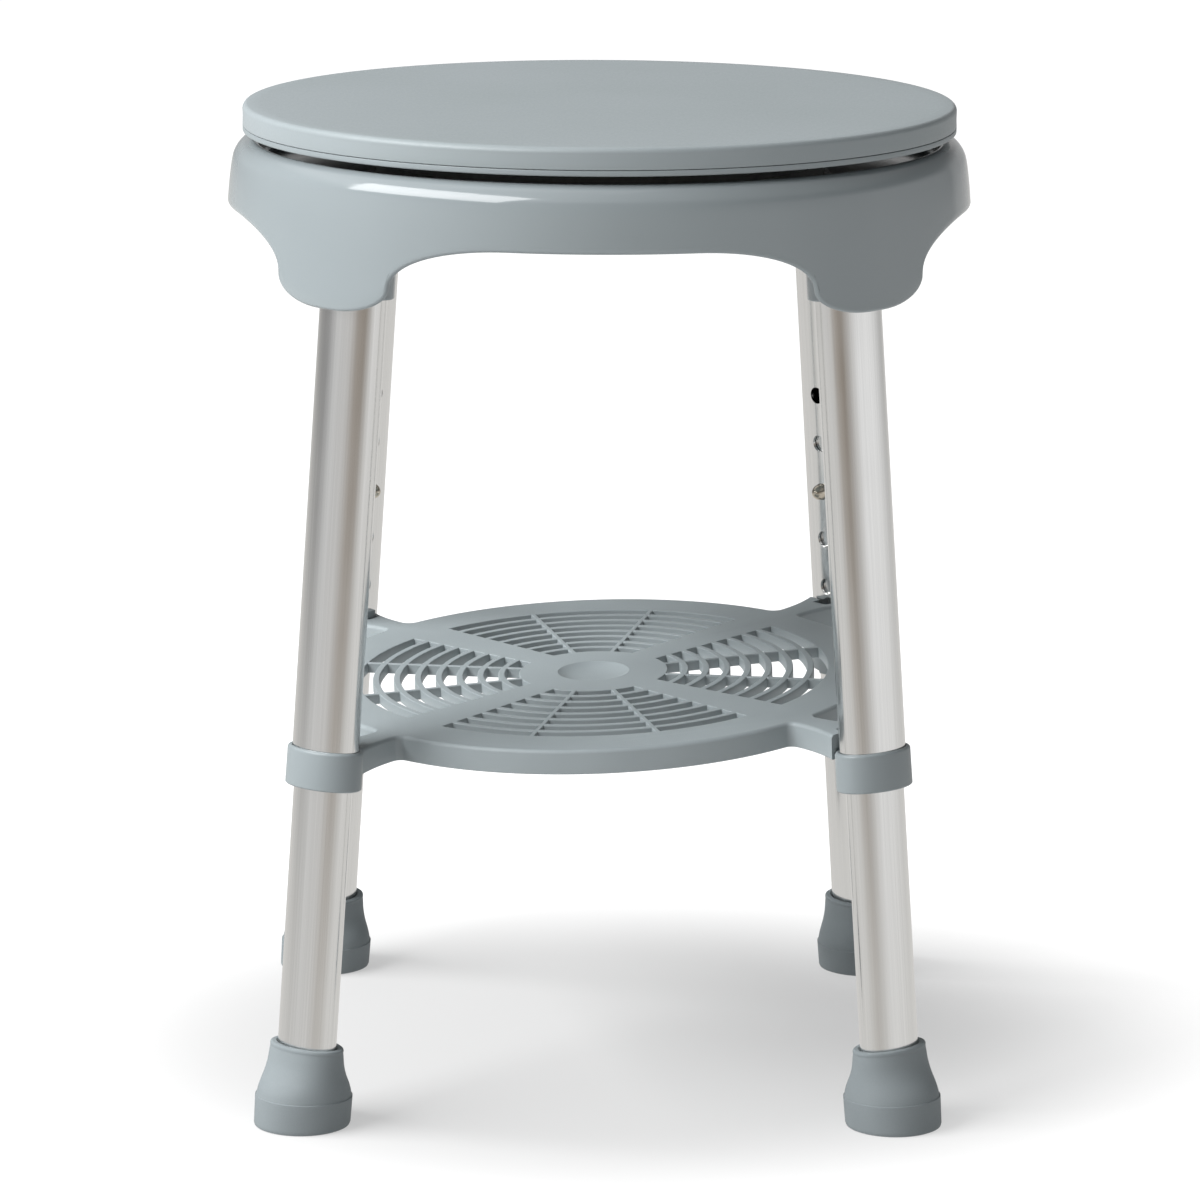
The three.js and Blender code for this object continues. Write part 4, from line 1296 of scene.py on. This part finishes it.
def leg_notches():
    """Room round the collar, round the tube above it, and round the collar's tongue."""
    room, collar_room = EAR_CLEARANCE, COLLAR_WALL + EAR_CLEARANCE
    over_collar = COLLAR_TOP + room
    groove = TONGUE_HALF + room
    return [
        oval_solid(tube_half[0] + collar_room, tube_half[1] + collar_room, NOTCH_BOTTOM, over_collar),
        oval_solid(tube_half[0] + room, tube_half[1] + room, over_collar - 1, NOTCH_TOP),
        block((-groove, -TONGUE_DEPTH - room, NOTCH_BOTTOM), (groove, 0, NOTCH_TOP)),
    ]


def shelf_mesh():
    mesh = carve(shelf_blank(), hollow_below())
    mesh = carve(mesh, dish_boss(), "UNION")
    mesh = carve(mesh, slot_shapes, sharp=FLAT_ANGLE)
    mesh = carve(mesh, dish_cutter(), sharp=FLAT_ANGLE)
    back = shelf_place.inverted()
    for notch in leg_notches():
        all_four = gather(*(along_leg(notch, leg) for leg in LEGS))
        mesh = carve(mesh, moved(all_four, back), sharp=FLAT_ANGLE)
    return mesh


metres = shelf_place.copy()
metres.translation = shelf_place.translation * MM
fit("shelf_grille", shelf_mesh(), matte_plastic, "root", ["shelf"], metres)

# %% [markdown]
# ## The swivel
# A steel track screwed under the board glides on an acetal ring let into the base, and a bolt
# with a washer and a nut holds the two together through an acetal bush. All of it is turned, so
# profiles are enough; the nut and the bolt's head are turned with six sides.

# %% Swivel
TRACK_SCREW_CIRCLE = 87.5
TRACK_SCREW_HOLE = 2.1
STEEL_EDGE = 0.2
WIDE_COLUMNS = 160
NARROW_COLUMNS = 64
BOLT_RADIUS = 3.95
BOLT_HEAD_BOTTOM = 458.6
THREAD_STEPS = 80
THREAD_DEPTH = 0.6
THREAD_PITCH = 1.25


def swivel_track():
    low, high = size_of("seat_track")
    bottom, top, edge = low.z, high.z, STEEL_EDGE
    profile = [(82.2, bottom), (112.8, bottom), (113, bottom + edge), (113, top - edge)]
    profile += [(112.8, top), (82.2, top), (82, top - edge), (82, bottom + edge)]
    radius = TRACK_SCREW_HOLE
    hole = turned([(0, bottom - 1), (radius, bottom - 1), (radius, top + 1), (0, top + 1)], 24)
    holes = []
    for turn in range(4):
        angle = turn * pi / 2
        out = Vector((cos(angle), sin(angle), 0)) * TRACK_SCREW_CIRCLE
        holes.append(moved(hole, Matrix.Translation(out)))
    return carve(make_mesh("swivel_track", turned(profile, WIDE_COLUMNS)), gather(*holes))


def glide_mesh():
    low, high = size_of("glide_ring")
    bottom, top, soft = low.z, high.z, 0.8
    profile = [(97, bottom), (109, bottom), (109, top - soft)]
    profile += [(109 - soft, top), (97 + soft, top), (97, top - soft)]
    return make_mesh("glide_band", turned(profile, WIDE_COLUMNS))


def bush_mesh():
    low, high = size_of("pivot_bush")
    bottom, top, flange = low.z, high.z, DECK_TOP + GAP
    profile = [(BOLT_HOLE, bottom), (6.6, bottom), (7, bottom + 0.4), (7, flange)]
    profile += [(13.7, flange), (14, flange + 0.3), (14, top - 0.3), (13.7, top), (BOLT_HOLE, top)]
    return make_mesh("pivot_sleeve", turned(profile, NARROW_COLUMNS))


def washer_mesh():
    low, high = size_of("pivot_washer")
    bottom, top, edge = low.z, high.z, STEEL_EDGE
    profile = [(BOLT_HOLE, bottom), (12.8, bottom), (13, bottom + edge)]
    profile += [(13, top - edge), (12.8, top), (BOLT_HOLE, top)]
    return make_mesh("round_washer", turned(profile, NARROW_COLUMNS))


def thread_ring(radius, height, depth, pitch, columns):
    """A ring whose radius follows a screw thread."""
    ring = []
    for column in range(columns):
        phase = (height / pitch - column / columns) % 1
        reach = radius - depth * abs(2 * phase - 1)
        angle = 2 * pi * column / columns
        ring.append((reach * cos(angle), reach * sin(angle), height))
    return ring


def hex_ring(radius, height, columns):
    """A six-sided ring whose corners lie at the radius."""
    flat = radius * cos(pi / 6)
    ring = []
    for column in range(columns):
        angle = 2 * pi * column / columns
        reach = min(flat / cos((angle % (pi / 3)) - pi / 6), radius)
        ring.append((reach * cos(angle), reach * sin(angle), height))
    return ring


def bolt_mesh():
    low, high = size_of("pivot_bolt")
    columns = 36
    shank, head, top = BOLT_RADIUS, BOLT_HEAD_BOTTOM, high.z
    rings = [round_ring(2.6, low.z, columns)]
    for step in range(THREAD_STEPS):
        height = low.z + 0.5 + 0.2 * step
        rings.append(thread_ring(shank, height, THREAD_DEPTH, THREAD_PITCH, columns))
    rings += [round_ring(shank, low.z + 17, columns), round_ring(shank, head, columns)]
    hexagon = [(7, head), (8, head + 0.5), (8, top - 0.6), (6.9, top)]
    rings += [hex_ring(radius, height, columns) for radius, height in hexagon]
    return make_mesh("swivel_bolt", skin(rings))


def nut_mesh():
    low, high = size_of("pivot_nut")
    columns = 72
    bottom, top, hole = low.z, high.z, BOLT_HOLE
    line = [(6.3, bottom), (7.5, bottom + 0.7), (7.5, top - 0.7), (6.3, top)]
    rings = [hex_ring(radius, height, columns) for radius, height in line]
    rings += [round_ring(4.9, top, columns), round_ring(hole, top - 0.5, columns)]
    rings += [round_ring(hole, bottom + 0.5, columns), round_ring(4.9, bottom, columns)]
    return make_mesh("hex_nut", skin(rings, closed=True))


def track_screw_mesh():
    low, high = size_of("seat_track_screw_1")
    bottom, top = low.z, high.z
    profile = [(0, bottom), (1.6, bottom), (2.8, bottom + 0.3), (3.6, bottom + 1)]
    profile += [(3.8, bottom + 1.8), (1.8, bottom + 1.8), (1.8, top - 0.6), (0, top)]
    mesh = make_mesh("track_screw", turned(profile, 32))
    for half_x, half_y in ((1.6, 0.3), (0.3, 1.6)):
        bar = block((-half_x, -half_y, bottom - 1), (half_x, half_y, bottom + 0.9))
        mesh = carve(mesh, bar)
    return mesh


fit("swivel_track", swivel_track(), stainless, "seat", ["seat_track"])
fit("glide_band", glide_mesh(), white_acetal, "root", ["glide_ring"])
fit("pivot_sleeve", bush_mesh(), white_acetal, "root", ["pivot_bush"])
fit("round_washer", washer_mesh(), stainless, "seat", ["pivot_washer"])
fit("swivel_bolt", bolt_mesh(), stainless, "seat", ["pivot_bolt"])
fit("hex_nut", nut_mesh(), stainless, "seat", ["pivot_nut"])
track_screw = track_screw_mesh()
for number in range(1, 5):
    low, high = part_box(f"seat_track_screw_{number}")
    middle = Matrix.Translation(((low.x + high.x) / 2, (low.y + high.y) / 2, 0))
    name = f"track_screw_{number}"
    fit(name, track_screw, stainless, "seat", [f"seat_track_screw_{number}"], middle)

# %% [markdown]
# ## The steel inserts
# A steel disc lies in each foot so that the tube doesn't punch through the rubber. Its packed
# shape is already right, so it only takes the steel finish.

# %% Foot inserts
for leg in LEGS:
    insert = frame["nodes"][f"{leg}_foot_insert"]
    insert.data.materials.clear()
    insert.data.materials.append(stainless)
print("foot inserts:", len(LEGS))
